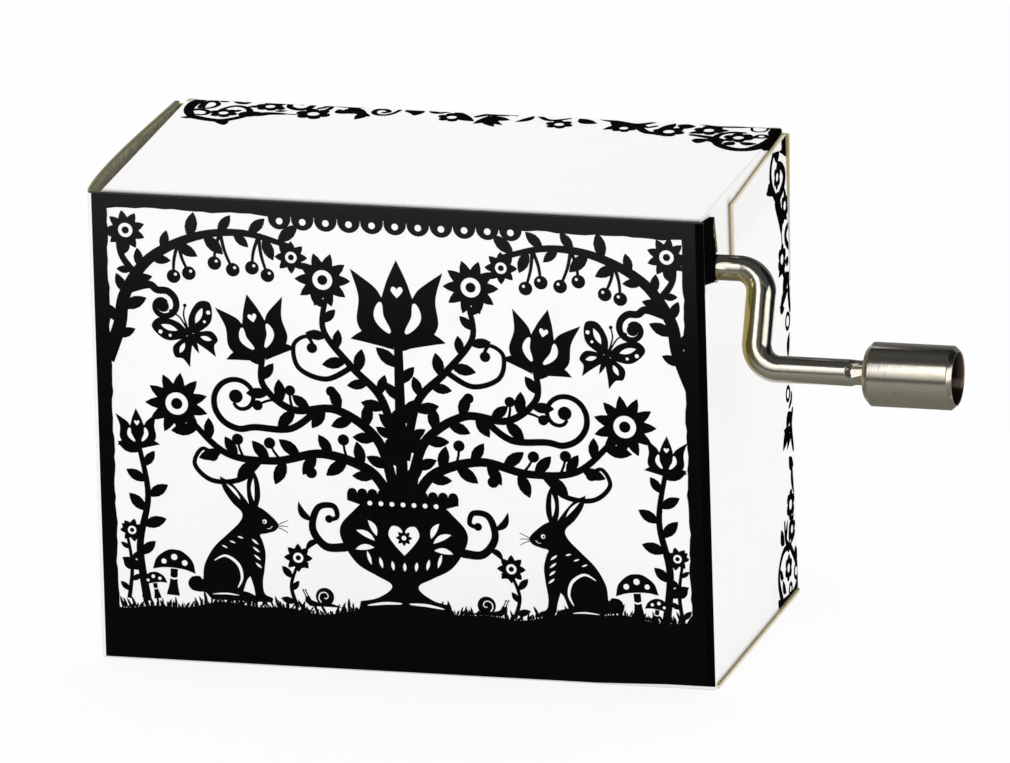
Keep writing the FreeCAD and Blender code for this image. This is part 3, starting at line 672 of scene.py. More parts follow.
bm = bmesh.new()
ply = bm.verts.layers.float.new("ply")
bm.verts.layers.float.new("wear")
rims = []
for deep, index in ((0.0, COATED), (BOARD, BACKED)):
    sheet = []
    for row in range(GRID_Z + 1):
        z = LEFT_TOP * row / GRID_Z
        line = []
        for column in range(GRID_Y + 1):
            y = WALL_FRONT + (WALL_REAR - WALL_FRONT) * (column / GRID_Y) ** 1.3
            line.append(bm.verts.new((LEFT - bulge(y, z) + deep, y, z)))
            line[-1][ply] = deep / BOARD
        sheet.append(line)
    for low, high in zip(sheet, sheet[1:]):
        for column in range(GRID_Y):
            bm.faces.new((low[column], low[column + 1], high[column + 1], high[column])).material_index = index
    rims.append(sheet[0] + [line[-1] for line in sheet[1:]] + sheet[-1][-2::-1]
                + [line[0] for line in sheet[-2:0:-1]])
outer, inner = rims
for step in range(len(outer)):
    bm.faces.new((outer[step - 1], outer[step], inner[step], inner[step - 1])).material_index = CUT
bmesh.ops.recalc_face_normals(bm, faces=bm.faces)
finish_piece("wall_left", bm, [coat, shaded_edge, grey_back], replaced=["left_panel"])

# %% [markdown]
# ### Flaps inside the carton
#
# The ears of the lid, its tuck flap, the glue tab and the bottom flaps are plain pieces of the same card. The right
# ear is the white strip that shows through the slot. A table of outlines is enough for all of them but the right ear,
# which has its own outline with a half round cut for the shaft.

# %% Ears and flaps
flaps = [
    ("flap_left_ear", "lid_left_ear", 0, -1),
    ("flap_tuck", "lid_tuck_flap", 1, -1),
    ("flap_glue", "rear_glue_tab", 1, 1),
    ("flap_bottom_tuck", "bottom_tuck_flap", 1, 1),
    ("flap_bottom_left", "bottom_left_flap", 2, -1),
    ("flap_bottom_right", "bottom_right_flap", 2, -1),
]
for name, node, axis, outwards in flaps:
    across = [number for number in range(3) if number != axis]
    card_wall(name, node, standing(node, axis, outwards), box_outline(node, *across))

ear_low, ear_high = box_mm("lid_right_ear")
EAR_NOTCH = 1.75
throat = arc((SHAFT_Y, SHAFT_Z), EAR_NOTCH, 180, 0, 20)
ear_face = ear_high.x
# Painted shade on the ear: grey along the slot's rear edge and under the side wall's slanting top edge.
ear_coat = card_coat("ear_white_coat", painted_shade_lines=[
    ((ear_face, SLOT_Y, SHAFT_Z - 2), (ear_face, SLOT_Y, WALL_TOP_FRONT), 1.5, 0.75),
    ((ear_face, SLOT_Y, WALL_TOP_FRONT), (ear_face, WALL_REAR, WALL_TOP_REAR), 0.55, 0.75),
])
right_ear = card_wall(
    "flap_right_ear", "lid_right_ear", standing("lid_right_ear", 0, 1),
    [(ear_low.y, ear_low.z), (throat[0][0], ear_low.z), *throat, (throat[-1][0], ear_low.z),
     (ear_high.y, ear_low.z), (ear_high.y, ear_high.z), (ear_low.y, ear_high.z)],
    materials=[ear_coat, raw_edge, grey_back])
right_ear.visible_glossy = False

# %% [markdown]
# ## Drawing the print
#
# The carton is printed like a paper cutting: solid black shapes on white, with white slits inside them. A picture
# texture would be the usual way. Here the print is real geometry, a film of ink as thin as varnish, because edges
# cut in a mesh stay crisp from any distance and in the exported model.
#
# Shapes are drawn flat and in order, as paint would be: each one is black or white and covers what lies below.
# One triangulation of all the outlines then tells, for every small triangle, which shape is on top, and the black
# triangles become the film.

# %% Flat shapes in paint order
BLACK, WHITE = True, False
LEAF_STEPS = 9
BLUNT_END = 0.12


def smooth_loop(points, steps=7, closed=True):
    """A smooth curve through points; a point with a third value is a sharp corner."""
    count = len(points)
    spots = [Vector(point[:2]) for point in points]
    sharp = [len(point) > 2 for point in points]
    made = []
    for number in range(count if closed else count - 1):
        ahead = (number + 1) % count
        start, end = spots[number], spots[ahead]
        before = spots[number - 1] if closed or number else start
        after = spots[(ahead + 1) % count] if closed or ahead + 1 < count else end
        leave = end - start if sharp[number] else (end - before) / 2
        reach = end - start if sharp[ahead] else (after - start) / 2
        for step in range(steps):
            t = step / steps
            made.append(start * (2 * t ** 3 - 3 * t ** 2 + 1) + leave * (t ** 3 - 2 * t ** 2 + t)
                        + end * (3 * t ** 2 - 2 * t ** 3) + reach * (t ** 3 - t ** 2))
    if not closed:
        made.append(spots[-1])
    return made


def counterclockwise(points):
    """The points in the order that the triangulation needs, or None if they enclose nothing."""
    area = sum(a[0] * b[1] - b[0] * a[1] for a, b in zip(points, points[1:] + points[:1]))
    if abs(area) < 1e-5:
        return None
    return points if area > 0 else points[::-1]


def with_mirror(half):
    """A half outline from its upper or lower end to the other, with its mirror image; X 0 is the fold."""
    return half + [(-point[0], *point[1:]) for point in half[::-1] if point[0]]


class Cutting:
    """A paper cutting: shapes in paint order, with the moves and turns that place a motif."""

    def __init__(self):
        self.shapes = []
        self.frames = [Matrix.Identity(3)]

    def shape(self, points, colour=BLACK):
        placed = [self.frames[-1] @ Vector((point[0], point[1], 1)) for point in points]
        placed = counterclockwise([(point.x, point.y) for point in placed])
        if placed:
            self.shapes.append((placed, colour))

    def bar(self, low, high, colour=WHITE):
        """A rectangle between two of its corners."""
        self.shape([low, (high[0], low[1]), high, (low[0], high[1])], colour)

    def blob(self, points, colour=BLACK):
        self.shape(smooth_loop(points), colour)

    def disc(self, at, radius, colour=BLACK, sides=18):
        self.shape(arc(at, radius, 0, 360 * (sides - 1) / sides, sides), colour)

    def stroke(self, points, first, last, colour=BLACK, steps=7, middle=None):
        """A smooth line whose width goes from first to last, through middle where one is given."""
        line = smooth_loop(points, steps, closed=False)
        sides = []
        for number, spot in enumerate(line):
            way = (line[min(number + 1, len(line) - 1)] - line[max(number - 1, 0)]).normalized()
            t = number / (len(line) - 1)
            width = first + (last - first) * t
            if middle is not None:
                width = (1 - t) ** 2 * first + 2 * t * (1 - t) * (2 * middle - (first + last) / 2) + t ** 2 * last
            side = Vector((-way.y, way.x)) * width / 2
            sides.append((spot + side, spot - side))
        for (a, b), (c, d) in zip(sides, sides[1:]):
            if (b - a).cross(d - b) * (d - a).cross(c - a) > 0:
                self.shape([a, b, d, c], colour)
            else:
                self.shape([a, b, d], colour)
                self.shape([a, d, c], colour)
        for end, width in ((line[0], first), (line[-1], last)):
            if width > BLUNT_END:
                self.disc(end, width / 2, colour, 12)

    def leaf(self, root, tip, width, colour=BLACK, bend=0.0):
        """A pointed leaf from root to tip, bent sideways by a share of its length."""
        root, tip = Vector(root), Vector(tip)
        run = tip - root
        side = Vector((-run.y, run.x))
        edge = []
        for sign in (1, -1):
            for step in range(LEAF_STEPS):
                t = step / LEAF_STEPS if sign > 0 else 1 - step / LEAF_STEPS
                belly = math.sin(math.pi * t) ** 0.85 * width / 2 / run.length
                edge.append(root + run * t + side * (bend * 4 * t * (1 - t) + sign * belly))
        self.shape(edge, colour)

    def heart(self, at, size, colour=BLACK):
        half = [(0, -0.95, 1), (0.55, -0.35), (0.92, 0.25), (0.72, 0.78), (0.30, 0.76), (0, 0.42, 1)]
        self.blob([(at[0] + size * p[0] / 2, at[1] + size * p[1] / 2, *p[2:]) for p in with_mirror(half)], colour)

    def placed(self, at=(0, 0), angle=0.0, size=1.0, mirrored=False):
        """Starts a motif's own frame; done() ends it."""
        flip = Matrix.Diagonal((-size if mirrored else size, size, 1))
        move = Matrix.Identity(3)
        move[0][2], move[1][2] = at
        self.frames.append(self.frames[-1] @ move @ Matrix.Rotation(math.radians(angle), 3, "Z") @ flip)

    def done(self):
        self.frames.pop()

    def both_sides(self, draw, *values):
        """Draws a motif and its mirror image, as a folded paper cutting has them."""
        for mirrored in (False, True):
            self.placed(mirrored=mirrored)
            draw(self, *values)
            self.done()


# %% [markdown]
# ### From shapes to a film of ink
#
# The triangulation returns every input face that covers a triangle. The last of them in paint order decides its
# colour. The film is two layers of those triangles with a wall round their rim, so it is a closed solid.

# %% Make the film
INK_THICK = 0.02


def ink_film(name, cut, place, thick=INK_THICK):
    """The black parts of a cutting as a thin closed film that lies on a wall."""
    points, faces = [], []
    for outline, _ in cut.shapes:
        faces.append(list(range(len(points), len(points) + len(outline))))
        points += [Vector(point) for point in outline]
    made, _, triangles, _, _, sources = geometry.delaunay_2d_cdt(points, [], faces, 1, 1e-4, True)
    black = [corners for corners, source in zip(triangles, sources) if source and cut.shapes[max(source)][1] is BLACK]
    bm = bmesh.new()
    used = {}
    for layer, deep in enumerate((-thick, 0.0)):
        for corners in black:
            for number in corners:
                if (layer, number) not in used:
                    used[layer, number] = bm.verts.new(place(made[number].x, made[number].y, deep))
    rim = {}
    for corners in black:
        bm.faces.new([used[0, number] for number in corners])
        bm.faces.new([used[1, number] for number in reversed(corners)])
        for first, second in zip(corners, [*corners[1:], corners[0]]):
            rim[first, second] = rim.get((first, second), 0) + 1
    for first, second in rim:
        if (second, first) not in rim:
            bm.faces.new((used[0, second], used[0, first], used[1, first], used[1, second]))
    bmesh.ops.recalc_face_normals(bm, faces=bm.faces)
    area = sum(face.calc_area() for face in bm.faces) / 2
    print("%s: %d shapes, %d triangles, %.0f square mm of ink" % (name, len(cut.shapes), len(black), area))
    return finish_piece(name, bm, [ink])


# %% [markdown]
# ### Leafy stems, flower heads and grass by Geometry Nodes
#
# Leaves along a stem, petals round a flower and blades along the ground are one shape repeated by a rule, which is
# what Geometry Nodes are for. Each tree below has named inputs for its sizes. Its mesh is read back as flat
# polygons, black or white by material, and joins the other shapes in paint order.

# %% Helpers for the trees
def new_tree(name, inputs):
    """A Geometry Nodes tree with a geometry input, named number inputs and a geometry output."""
    tree = bpy.data.node_groups.new(name, "GeometryNodeTree")
    tree.interface.new_socket("Geometry", in_out="INPUT", socket_type="NodeSocketGeometry")
    for label, value in inputs.items():
        kind = "NodeSocketInt" if isinstance(value, int) else "NodeSocketFloat"
        tree.interface.new_socket(label, in_out="INPUT", socket_type=kind).default_value = value
    tree.interface.new_socket("Geometry", in_out="OUTPUT", socket_type="NodeSocketGeometry")
    return tree, tree.nodes.new("NodeGroupInput").outputs, tree.nodes.new("NodeGroupOutput")


def end_tree(tree, out, geometry_socket, cut_out=None):
    """Ends a tree in Realize Instances and Set Material: ink, and paper where cut_out is 1."""
    real = add(tree, "GeometryNodeRealizeInstances", {"Geometry": geometry_socket})
    last = add(tree, "GeometryNodeSetMaterial", {"Geometry": real.outputs[0], "Material": ink})
    if cut_out is not None:
        last = add(tree, "GeometryNodeSetMaterial", {
            "Geometry": last.outputs[0], "Selection": cut_out, "Material": paper})
    tree.links.new(last.outputs[0], out.inputs[0])


def round_face(tree, sides, radius):
    """A flat round face."""
    return add(tree, "GeometryNodeMeshCircle", {"Vertices": sides, "Radius": radius},
               fill_type="NGON").outputs["Mesh"]


def pointed(tree, length, width):
    """A pointed petal or leaf, length long from the origin along X, as a flat mesh."""
    spot = add(tree, "ShaderNodeSeparateXYZ", {0: add(tree, "GeometryNodeInputPosition").outputs[0]}).outputs
    ahead = times(tree, sums(tree, "ADD", spot["X"], 1.0), 0.5, length)
    half = times(tree, spot["Y"], sums(tree, "ABSOLUTE", spot["Y"], 0.0), width, 0.5)
    placed = add(tree, "ShaderNodeCombineXYZ", {"X": ahead, "Y": half}).outputs[0]
    return add(tree, "GeometryNodeSetPosition", {
        "Geometry": round_face(tree, 14, 1.0), "Position": placed}).outputs[0]


def scatter(tree, points, instance, turn=None, scale=None):
    """One instance on each point, turned about Z and scaled."""
    inputs = {"Points": points, "Instance": instance}
    if turn is not None:
        inputs["Rotation"] = add(tree, "ShaderNodeCombineXYZ", {"Z": turn}).outputs[0]
    if scale is not None:
        inputs["Scale"] = scale
    return add(tree, "GeometryNodeInstanceOnPoints", inputs).outputs[0]


def chance(tree, low, high, seed):
    """A random number for each point."""
    return add(tree, "FunctionNodeRandomValue", {"Min": low, "Max": high, "Seed": seed},
               data_type="FLOAT").outputs["Value"]


def join(tree, *parts):
    """Several geometries as one, the last one below."""
    made = add(tree, "GeometryNodeJoinGeometry")
    for part in parts:
        tree.links.new(part, made.inputs[0])
    return made.outputs[0]


def grow(cut, source, tree, values):
    """Runs a tree on a curve or mesh, reads its flat faces as shapes, and removes what it needed."""
    holder = new_object("drawing", source)
    modifier = holder.modifiers.new("drawing", "NODES")
    modifier.node_group = tree
    for item in tree.interface.items_tree:
        if item.in_out == "INPUT" and item.name in values:
            modifier[item.identifier] = values[item.name]
    mesh = bpy.data.meshes.new_from_object(holder.evaluated_get(bpy.context.evaluated_depsgraph_get()))
    white = [slot for slot, material in enumerate(mesh.materials) if material and material.name == paper.name]
    for face in mesh.polygons:
        outline = [mesh.vertices[number].co.xy for number in face.vertices]
        cut.shape(outline, WHITE if face.material_index in white else BLACK)
    holder.modifiers.clear()
    bpy.data.objects.remove(holder)
    bpy.data.meshes.remove(mesh)


def curve_through(points):
    """A poly curve with equal spacing along a smooth line through points."""
    line = smooth_loop(points, 8, closed=False)
    curve = bpy.data.curves.new("stem", "CURVE")
    curve.dimensions = "3D"
    spline = curve.splines.new("POLY")
    spline.points.add(len(line) - 1)
    for spot, point in zip(spline.points, line):
        spot.co = (point.x, point.y, 0, 1)
    return curve


paper = finish("paper_cut_out", WHITE_COAT, 0.5)[0]

# %% Tree 1: a stem that tapers, with leaves on alternate sides
tree, given, out = new_tree("leafy_stem", {
    "Root width": 0.8, "Tip width": 0.35, "Leaf spacing": 1.4, "Leaf length": 2.0, "Leaf width": 0.8,
    "Leaf angle": 0.9, "Bare root": 0.12, "Bare tip": 0.04, "Seed": 1})
along = add(tree, "GeometryNodeSplineParameter").outputs["Factor"]
across_line = add(tree, "GeometryNodeCurvePrimitiveLine", {"Start": (-0.5, 0, 0), "End": (0.5, 0, 0)})
ribbon = add(tree, "GeometryNodeCurveToMesh", {
    "Curve": add(tree, "GeometryNodeSetCurveNormal", {"Curve": given["Geometry"]}, mode="Z_UP").outputs[0],
    "Profile Curve": across_line.outputs[0],
    "Scale": between(tree, along, 0.0, 1.0, given["Root width"], given["Tip width"])})
trimmed = add(tree, "GeometryNodeTrimCurve", {
    "Curve": given["Geometry"], "Start": given["Bare root"],
    "End": sums(tree, "SUBTRACT", 1.0, given["Bare tip"])}, mode="FACTOR")
joints = add(tree, "GeometryNodeCurveToPoints", {"Curve": trimmed.outputs[0], "Length": given["Leaf spacing"]},
             mode="LENGTH").outputs
heading = add(tree, "ShaderNodeSeparateXYZ", {0: joints["Tangent"]}).outputs
course = sums(tree, "ARCTAN2", heading["Y"], heading["X"])
number = add(tree, "GeometryNodeInputIndex").outputs[0]
side = sums(tree, "SUBTRACT", times(tree, sums(tree, "MODULO", number, 2.0), 2.0), 1.0)
spread = chance(tree, 0.85, 1.15, given["Seed"])
turned = sums(tree, "ADD", course, times(tree, side, spread, given["Leaf angle"]))
leaves = scatter(tree, joints["Points"], pointed(tree, given["Leaf length"], given["Leaf width"]), turned, spread)
end_tree(tree, out, join(tree, ribbon.outputs[0], leaves))
stem_tree = tree

# %% Tree 2: a flower head with petals, a white ring and a dark eye
tree, given, out = new_tree("flower_head", {
    "Petals": 9, "Reach": 2.0, "Petal width": 0.9, "Ring": 0.8, "Eye": 0.45})
wheel = add(tree, "GeometryNodeMeshCircle", {"Vertices": given["Petals"], "Radius": 0.001}).outputs["Mesh"]
number = add(tree, "GeometryNodeInputIndex").outputs[0]
turned = sums(tree, "DIVIDE", times(tree, number, 2 * math.pi), given["Petals"])
petals = scatter(tree, wheel, pointed(tree, given["Reach"], given["Petal width"]), turned)
real_petals = add(tree, "GeometryNodeRealizeInstances", {"Geometry": petals}).outputs[0]
core = round_face(tree, 20, sums(tree, "ADD", given["Ring"], 0.12))
ring = add(tree, "GeometryNodeStoreNamedAttribute", {
    "Geometry": round_face(tree, 20, given["Ring"]), "Name": "cut_out", "Value": 1.0},
    data_type="FLOAT", domain="FACE").outputs[0]
head = join(tree, round_face(tree, 16, given["Eye"]), ring, core, real_petals)
cut_out = add(tree, "GeometryNodeInputNamedAttribute", {"Name": "cut_out"}, data_type="FLOAT").outputs["Attribute"]
end_tree(tree, out, scatter(tree, given["Geometry"], head), sums(tree, "GREATER_THAN", cut_out, 0.5))
flower_tree = tree

# %% Tree 3: grass along the ground
tree, given, out = new_tree("grass", {"Blades": 150, "Height": 1.2, "Width": 0.32, "Lean": 0.5, "Seed": 4})
roots = add(tree, "GeometryNodeCurveToPoints", {"Curve": given["Geometry"], "Count": given["Blades"]}, mode="COUNT")
lean = chance(tree, times(tree, given["Lean"], -1.0), given["Lean"], given["Seed"])
tall = chance(tree, 0.35, 1.1, sums(tree, "ADD", given["Seed"], 7.0))
blade = pointed(tree, given["Height"], given["Width"])
end_tree(tree, out, scatter(tree, roots.outputs["Points"], blade, sums(tree, "ADD", lean, math.pi / 2), tall))
grass_tree = tree


def stem(cut, points, root, tip, spacing, leaf, width, seed, angle=0.9, bare=0.12):
    """A leafy stem through points."""
    grow(cut, curve_through(points), stem_tree, {
        "Root width": root, "Tip width": tip, "Leaf spacing": spacing, "Leaf length": leaf, "Leaf width": width,
        "Leaf angle": angle, "Bare root": bare, "Seed": seed})
    cut.disc(points[-1][:2], tip / 2, sides=10)


def berries(cut, points, places, reach, radius):
    """Berries on short stalks; places are (share of the line, side +1 or -1)."""
    line = smooth_loop(points, 8, closed=False)
    for share, side in places:
        number = min(int(share * (len(line) - 1)), len(line) - 2)
        way = (line[number + 1] - line[number]).normalized()
        tip = line[number] + (Vector((-way.y, way.x)) * side + way * 0.5) * reach
        cut.stroke([line[number], (line[number] + tip) / 2 + way * 0.12, tip], 0.3, 0.22, steps=3)
        cut.disc(tip, radius, sides=14)


def flower(cut, at, reach, petals, width, ring=0.36, eye=0.18):
    """A flower head; ring and eye are shares of its reach."""
    mesh = bpy.data.meshes.new("spot")
    mesh.from_pydata([(*at, 0)], [], [])
    grow(cut, mesh, flower_tree, {
        "Petals": petals, "Reach": reach, "Petal width": width, "Ring": ring * reach, "Eye": eye * reach})


print("trees:", [tree.name for tree in (stem_tree, flower_tree, grass_tree)])

# %% [markdown]
# ## The front print
#
# The front is a black frame with a lively inner edge, a dark strip of ground, and a paper cutting between them. The
# cutting is this notebook's own, in the common folk manner: the paper is folded once, so the left half mirrors the
# right. A footed vase holds tulips and daisies, two hares sit beside it, and toadstools, snails and butterflies
# fill the rest.

# %% Motifs: tulip and butterfly
def tulip(cut, at, angle, size):
    """Three pointed petals with two white slits; it stands along angle, 0 being upright."""
    cut.placed(at, -angle, size)
    cut.blob(with_mirror([
        (0, 0, 1), (0.30, 0.05), (0.52, 0.30), (0.50, 0.66), (0.60, 1.02, 1), (0.30, 0.80), (0.20, 0.66, 1),
        (0.12, 0.90), (0, 1.16, 1)]))
    for side in (1, -1):
        cut.stroke([(side * 0.10, 0.20), (side * 0.24, 0.40), (side * 0.22, 0.60)], 0.03, 0.03, WHITE, middle=0.13)
        cut.leaf((side * 0.05, -0.02), (side * 0.62, 0.10), 0.20, bend=side * 0.18)
    cut.heart((0, 0.74), 0.17, WHITE)
    cut.done()


def butterfly(cut, at, angle, size):
    """Seen from above, wings spread, with white spots."""
    cut.placed(at, -angle, size)
    for side in (1, -1):
        wing = [(0, 0.12, 1), (0.22, 0.62), (0.72, 0.98), (1.10, 0.84), (1.04, 0.46), (0.78, 0.14), (0.24, 0.0, 1)]
        lower = [(0, 0.04, 1), (0.36, 0.02), (0.74, -0.12), (0.82, -0.46), (0.60, -0.62), (0.50, -0.98, 1),
                 (0.30, -0.62), (0, -0.16, 1)]
        for outline in (wing, lower):
            cut.blob([(side * p[0], *p[1:]) for p in outline])
        cut.leaf((side * 0.34, 0.34), (side * 0.80, 0.74), 0.20, WHITE)
        cut.disc((side * 0.92, 0.52), 0.075, WHITE, 10)
        cut.disc((side * 0.66, 0.28), 0.055, WHITE, 10)
        cut.leaf((side * 0.30, -0.14), (side * 0.62, -0.40), 0.16, WHITE)
        cut.stroke([(side * 0.02, 0.34), (side * 0.08, 0.74), (side * 0.26, 1.02)], 0.06, 0.045)
        cut.disc((side * 0.27, 1.04), 0.065, sides=10)
    cut.leaf((0, -0.66), (0, 0.50), 0.22)
    cut.done()

# %% Motifs: hare, toadstool, snail and a spiral
def hare(cut, at, size):
    """A sitting hare that looks to the left; the drawing's unit is about a tenth of its height."""
    cut.placed(at, 0, size, mirrored=True)
    cut.blob([
        (1.9, 0, 1), (6.9, 0, 1), (7.0, 0.5), (6.3, 0.95), (5.5, 1.15, 1), (5.95, 2.4), (6.35, 2.9, 1), (6.75, 1.5),
        (6.9, 0, 1), (8.75, 0, 1), (8.8, 0.5), (7.95, 0.95), (7.75, 2.2), (8.0, 3.9), (8.15, 5.6), (7.85, 7.0),
        (7.6, 7.7), (8.3, 7.9), (9.3, 8.25), (9.72, 8.85), (9.45, 9.4), (8.9, 9.95), (8.1, 10.6), (7.45, 10.95, 1),
        (7.75, 12.2), (7.6, 13.9), (7.0, 15.3, 1), (6.35, 14.0), (6.25, 12.3), (6.45, 11.15, 1), (5.6, 12.3),
        (4.5, 13.5), (3.2, 14.2, 1), (3.55, 12.8), (4.5, 11.3), (5.6, 10.15), (5.35, 9.1), (4.0, 7.7), (2.3, 6.0),
        (1.2, 4.0), (0.95, 2.3), (0.55, 2.6), (-0.35, 2.45), (-0.75, 1.7), (-0.35, 1.0), (0.5, 0.8), (1.2, 0.75),
    ])
    cut.disc((8.15, 9.25), 0.26, WHITE, 12)
    cut.disc((8.1, 9.22), 0.12, BLACK, 10)
    cut.leaf((7.05, 11.5), (7.05, 14.2), 0.42, WHITE, bend=0.05)
    cut.leaf((5.5, 11.6), (3.9, 13.4), 0.36, WHITE, bend=-0.05)
    cut.stroke([(2.3, 4.5), (3.6, 5.1), (5.0, 4.2), (5.4, 2.7), (4.9, 1.5)], 0.08, 0.10, WHITE, middle=0.36)
    cut.stroke([(2.0, 0.62), (3.6, 0.75), (5.0, 0.62)], 0.05, 0.05, WHITE, middle=0.2)
    for number in range(4):
        y = 7.2 - 0.9 * number
        cut.leaf((6.6 + 0.12 * number, y), (7.4 + 0.1 * number, y - 0.62), 0.26, WHITE)
    for number in range(3):
        cut.leaf((3.2 + 0.9 * number, 6.3 + 0.55 * number), (3.9 + 0.9 * number, 6.0 + 0.6 * number), 0.2, WHITE)
    cut.stroke([(9.0, 8.75), (8.75, 8.5), (8.4, 8.45)], 0.1, 0.05, WHITE)
    for rise in (0.35, 0.0, -0.35):
        cut.stroke([(9.3, 8.7), (10.1, 8.85 + rise), (10.8, 8.8 + 2 * rise)], 0.10, 0.06)
    cut.done()


def toadstool(cut, at, size, lean):
    cut.placed(at, -lean, size)
    cut.blob([(-0.22, 0, 1), (0.22, 0, 1), (0.13, 0.45), (0.12, 0.9, 1), (-0.12, 0.9, 1), (-0.13, 0.45)])
    cut.blob([(-0.72, 0.82, 1), (-0.3, 0.92), (0.3, 0.92), (0.72, 0.82, 1), (0.60, 1.22), (0.28, 1.50),
              (0, 1.56), (-0.28, 1.50), (-0.60, 1.22)])
    for x, y, r in ((-0.34, 1.14, 0.10), (0.02, 1.30, 0.11), (0.36, 1.12, 0.09)):
        cut.disc((x, y), r, WHITE, 12)
    cut.stroke([(-0.16, 0.62), (0, 0.56), (0.16, 0.62)], 0.06, 0.06, WHITE)
    cut.done()


def snail(cut, at, size):
    """Creeps to the right."""
    cut.placed(at, 0, size)
    cut.blob([(-1.25, 0, 1), (1.1, 0, 1), (1.42, 0.32), (1.40, 0.62), (1.15, 0.72), (0.98, 0.45), (0.5, 0.30),
              (-0.3, 0.28)])
    for x in (1.18, 1.36):
        cut.stroke([(x, 0.6), (x + 0.12, 0.9), (x + 0.22, 1.12)], 0.09, 0.06)
        cut.disc((x + 0.23, 1.14), 0.07, sides=8)
    cut.disc((0.02, 0.72), 0.66, BLACK, 24)
    turns = [(0.50 - 0.042 * k, 0.62 * k - 1.0) for k in range(11)]
    cut.stroke([(0.02 + r * math.cos(a), 0.72 + r * math.sin(a)) for r, a in turns], 0.09, 0.07, WHITE, steps=4)
    cut.done()


def volute(centre, start_radius, end_radius, start_angle, turns, count=15):
    """Points of a spiral round a centre; positive turns run counterclockwise."""
    made = []
    for step in range(count):
        t = step / (count - 1)
        radius = start_radius + (end_radius - start_radius) * t
        angle = math.radians(start_angle + 360 * turns * t)
        made.append((centre[0] + radius * math.cos(angle), centre[1] + radius * math.sin(angle)))
    return made


# %% Frame and ground
PRINT_LEFT, PRINT_RIGHT = LEFT + 0.45, RIGHT - 0.01
PRINT_FOOT, PRINT_TOP, FOOT_RISE = 0.12, front_high.z, 0.22
WINDOW_LEFT, WINDOW_RIGHT = LEFT + 2.0, RIGHT - 2.3
WINDOW_STEPS = 60


def ground(x):
    """Height of the ground, which rises a little to the right."""
    return 6.45 + 0.022 * x + 0.35 * math.sin(0.33 * x + 1.2) + 0.18 * math.sin(0.9 * x)


def wobble(t, seed):
    """A small hand-cut waver along an edge."""
    return 0.07 * math.sin(0.8 * t + seed) + 0.05 * math.sin(2.3 * t + 2 * seed) + 0.03 * math.sin(5.1 * t + seed)


def equal_steps(start, end, count=WINDOW_STEPS):
    """Equal steps from start to just before end."""
    return [start + (end - start) * step / count for step in range(count)]


front = Cutting()
front.shape([(PRINT_LEFT, PRINT_FOOT), (RIGHT - 12, PRINT_FOOT), (RIGHT - 5, PRINT_FOOT + FOOT_RISE),
             (PRINT_RIGHT, PRINT_FOOT + FOOT_RISE), (PRINT_RIGHT, PRINT_TOP), (PRINT_LEFT, PRINT_TOP)])
front.shape([
    *[(x, ground(x) - 0.3) for x in equal_steps(WINDOW_LEFT, WINDOW_RIGHT)],
    *[(WINDOW_RIGHT + wobble(z, 1.0), z) for z in equal_steps(6, 47)],
    *[(x, TOP - 1.65 - 0.0095 * x + wobble(x, 2.0)) for x in equal_steps(WINDOW_RIGHT, WINDOW_LEFT)],
    *[(WINDOW_LEFT + wobble(z, 3.0), z) for z in equal_steps(47.4, 6)]], WHITE)
turf = [(x, ground(x)) for x in [*equal_steps(WINDOW_LEFT, WINDOW_RIGHT, 90), WINDOW_RIGHT]]
front.shape([(WINDOW_LEFT - 0.5, 5.0), (WINDOW_RIGHT + 0.5, 5.0), *turf[::-1]])
for height, blades, width, seed in ((1.5, 130, 0.30, 3), (0.8, 260, 0.28, 9)):
    grow(front, curve_through([(x, z - 0.15) for x, z in turf[::3]]), grass_tree,
         {"Blades": blades, "Height": height, "Width": width, "Lean": 0.6, "Seed": seed})


# %% Vase and bouquet
foot = ground(0) - 0.4


def vase(cut):
    half = [(0, 0, 1), (4.9, 0, 1), (4.7, 1.0, 1), (3.0, 1.4), (1.6, 2.3), (1.5, 3.0), (2.8, 3.7, 1), (5.0, 5.0),
            (6.5, 7.4), (6.5, 9.0), (5.1, 10.6), (4.5, 11.2, 1), (5.8, 11.6, 1), (5.8, 12.4, 1)]
    cut.blob(with_mirror([(p[0], foot + p[1], *p[2:]) for p in half]))
    cut.heart((0, foot + 7.7), 3.5, WHITE)
    flower(cut, (0, foot + 7.9), 0.85, petals=8, width=0.42, ring=0.3, eye=0.0)
    for side in (1, -1):
        for angle, reach in ((62, 2.5), (28, 2.9), (-8, 2.7)):
            turn = math.radians(angle)
            start = (side * (2.6 + 0.5 * math.cos(turn)), foot + 6.9 + 1.2 * math.sin(turn))
            end = (start[0] + side * reach * 0.75 * math.cos(turn), start[1] + reach * 0.75 * math.sin(turn))
            cut.leaf(start, end, 0.62, WHITE, bend=side * 0.08)
        cut.stroke([(side * 0.4, foot + 0.95), (side * 2.2, foot + 0.9), (side * 4.0, foot + 0.6)], 0.12, 0.08,
                   WHITE, middle=0.3)
    for step in range(-3, 4):
        cut.disc((step * 1.15, foot + 11.4), 0.26, WHITE, 12)
    for step in range(-3, 4):
        cut.leaf((step * 1.15, foot + 4.35 + 0.06 * step * step), (step * 1.3, foot + 5.3 + 0.12 * step * step),
                 0.36, WHITE)
    for step in range(-5, 6):
        cut.disc((step * 1.05, foot + 12.4), 0.52, BLACK, 12)


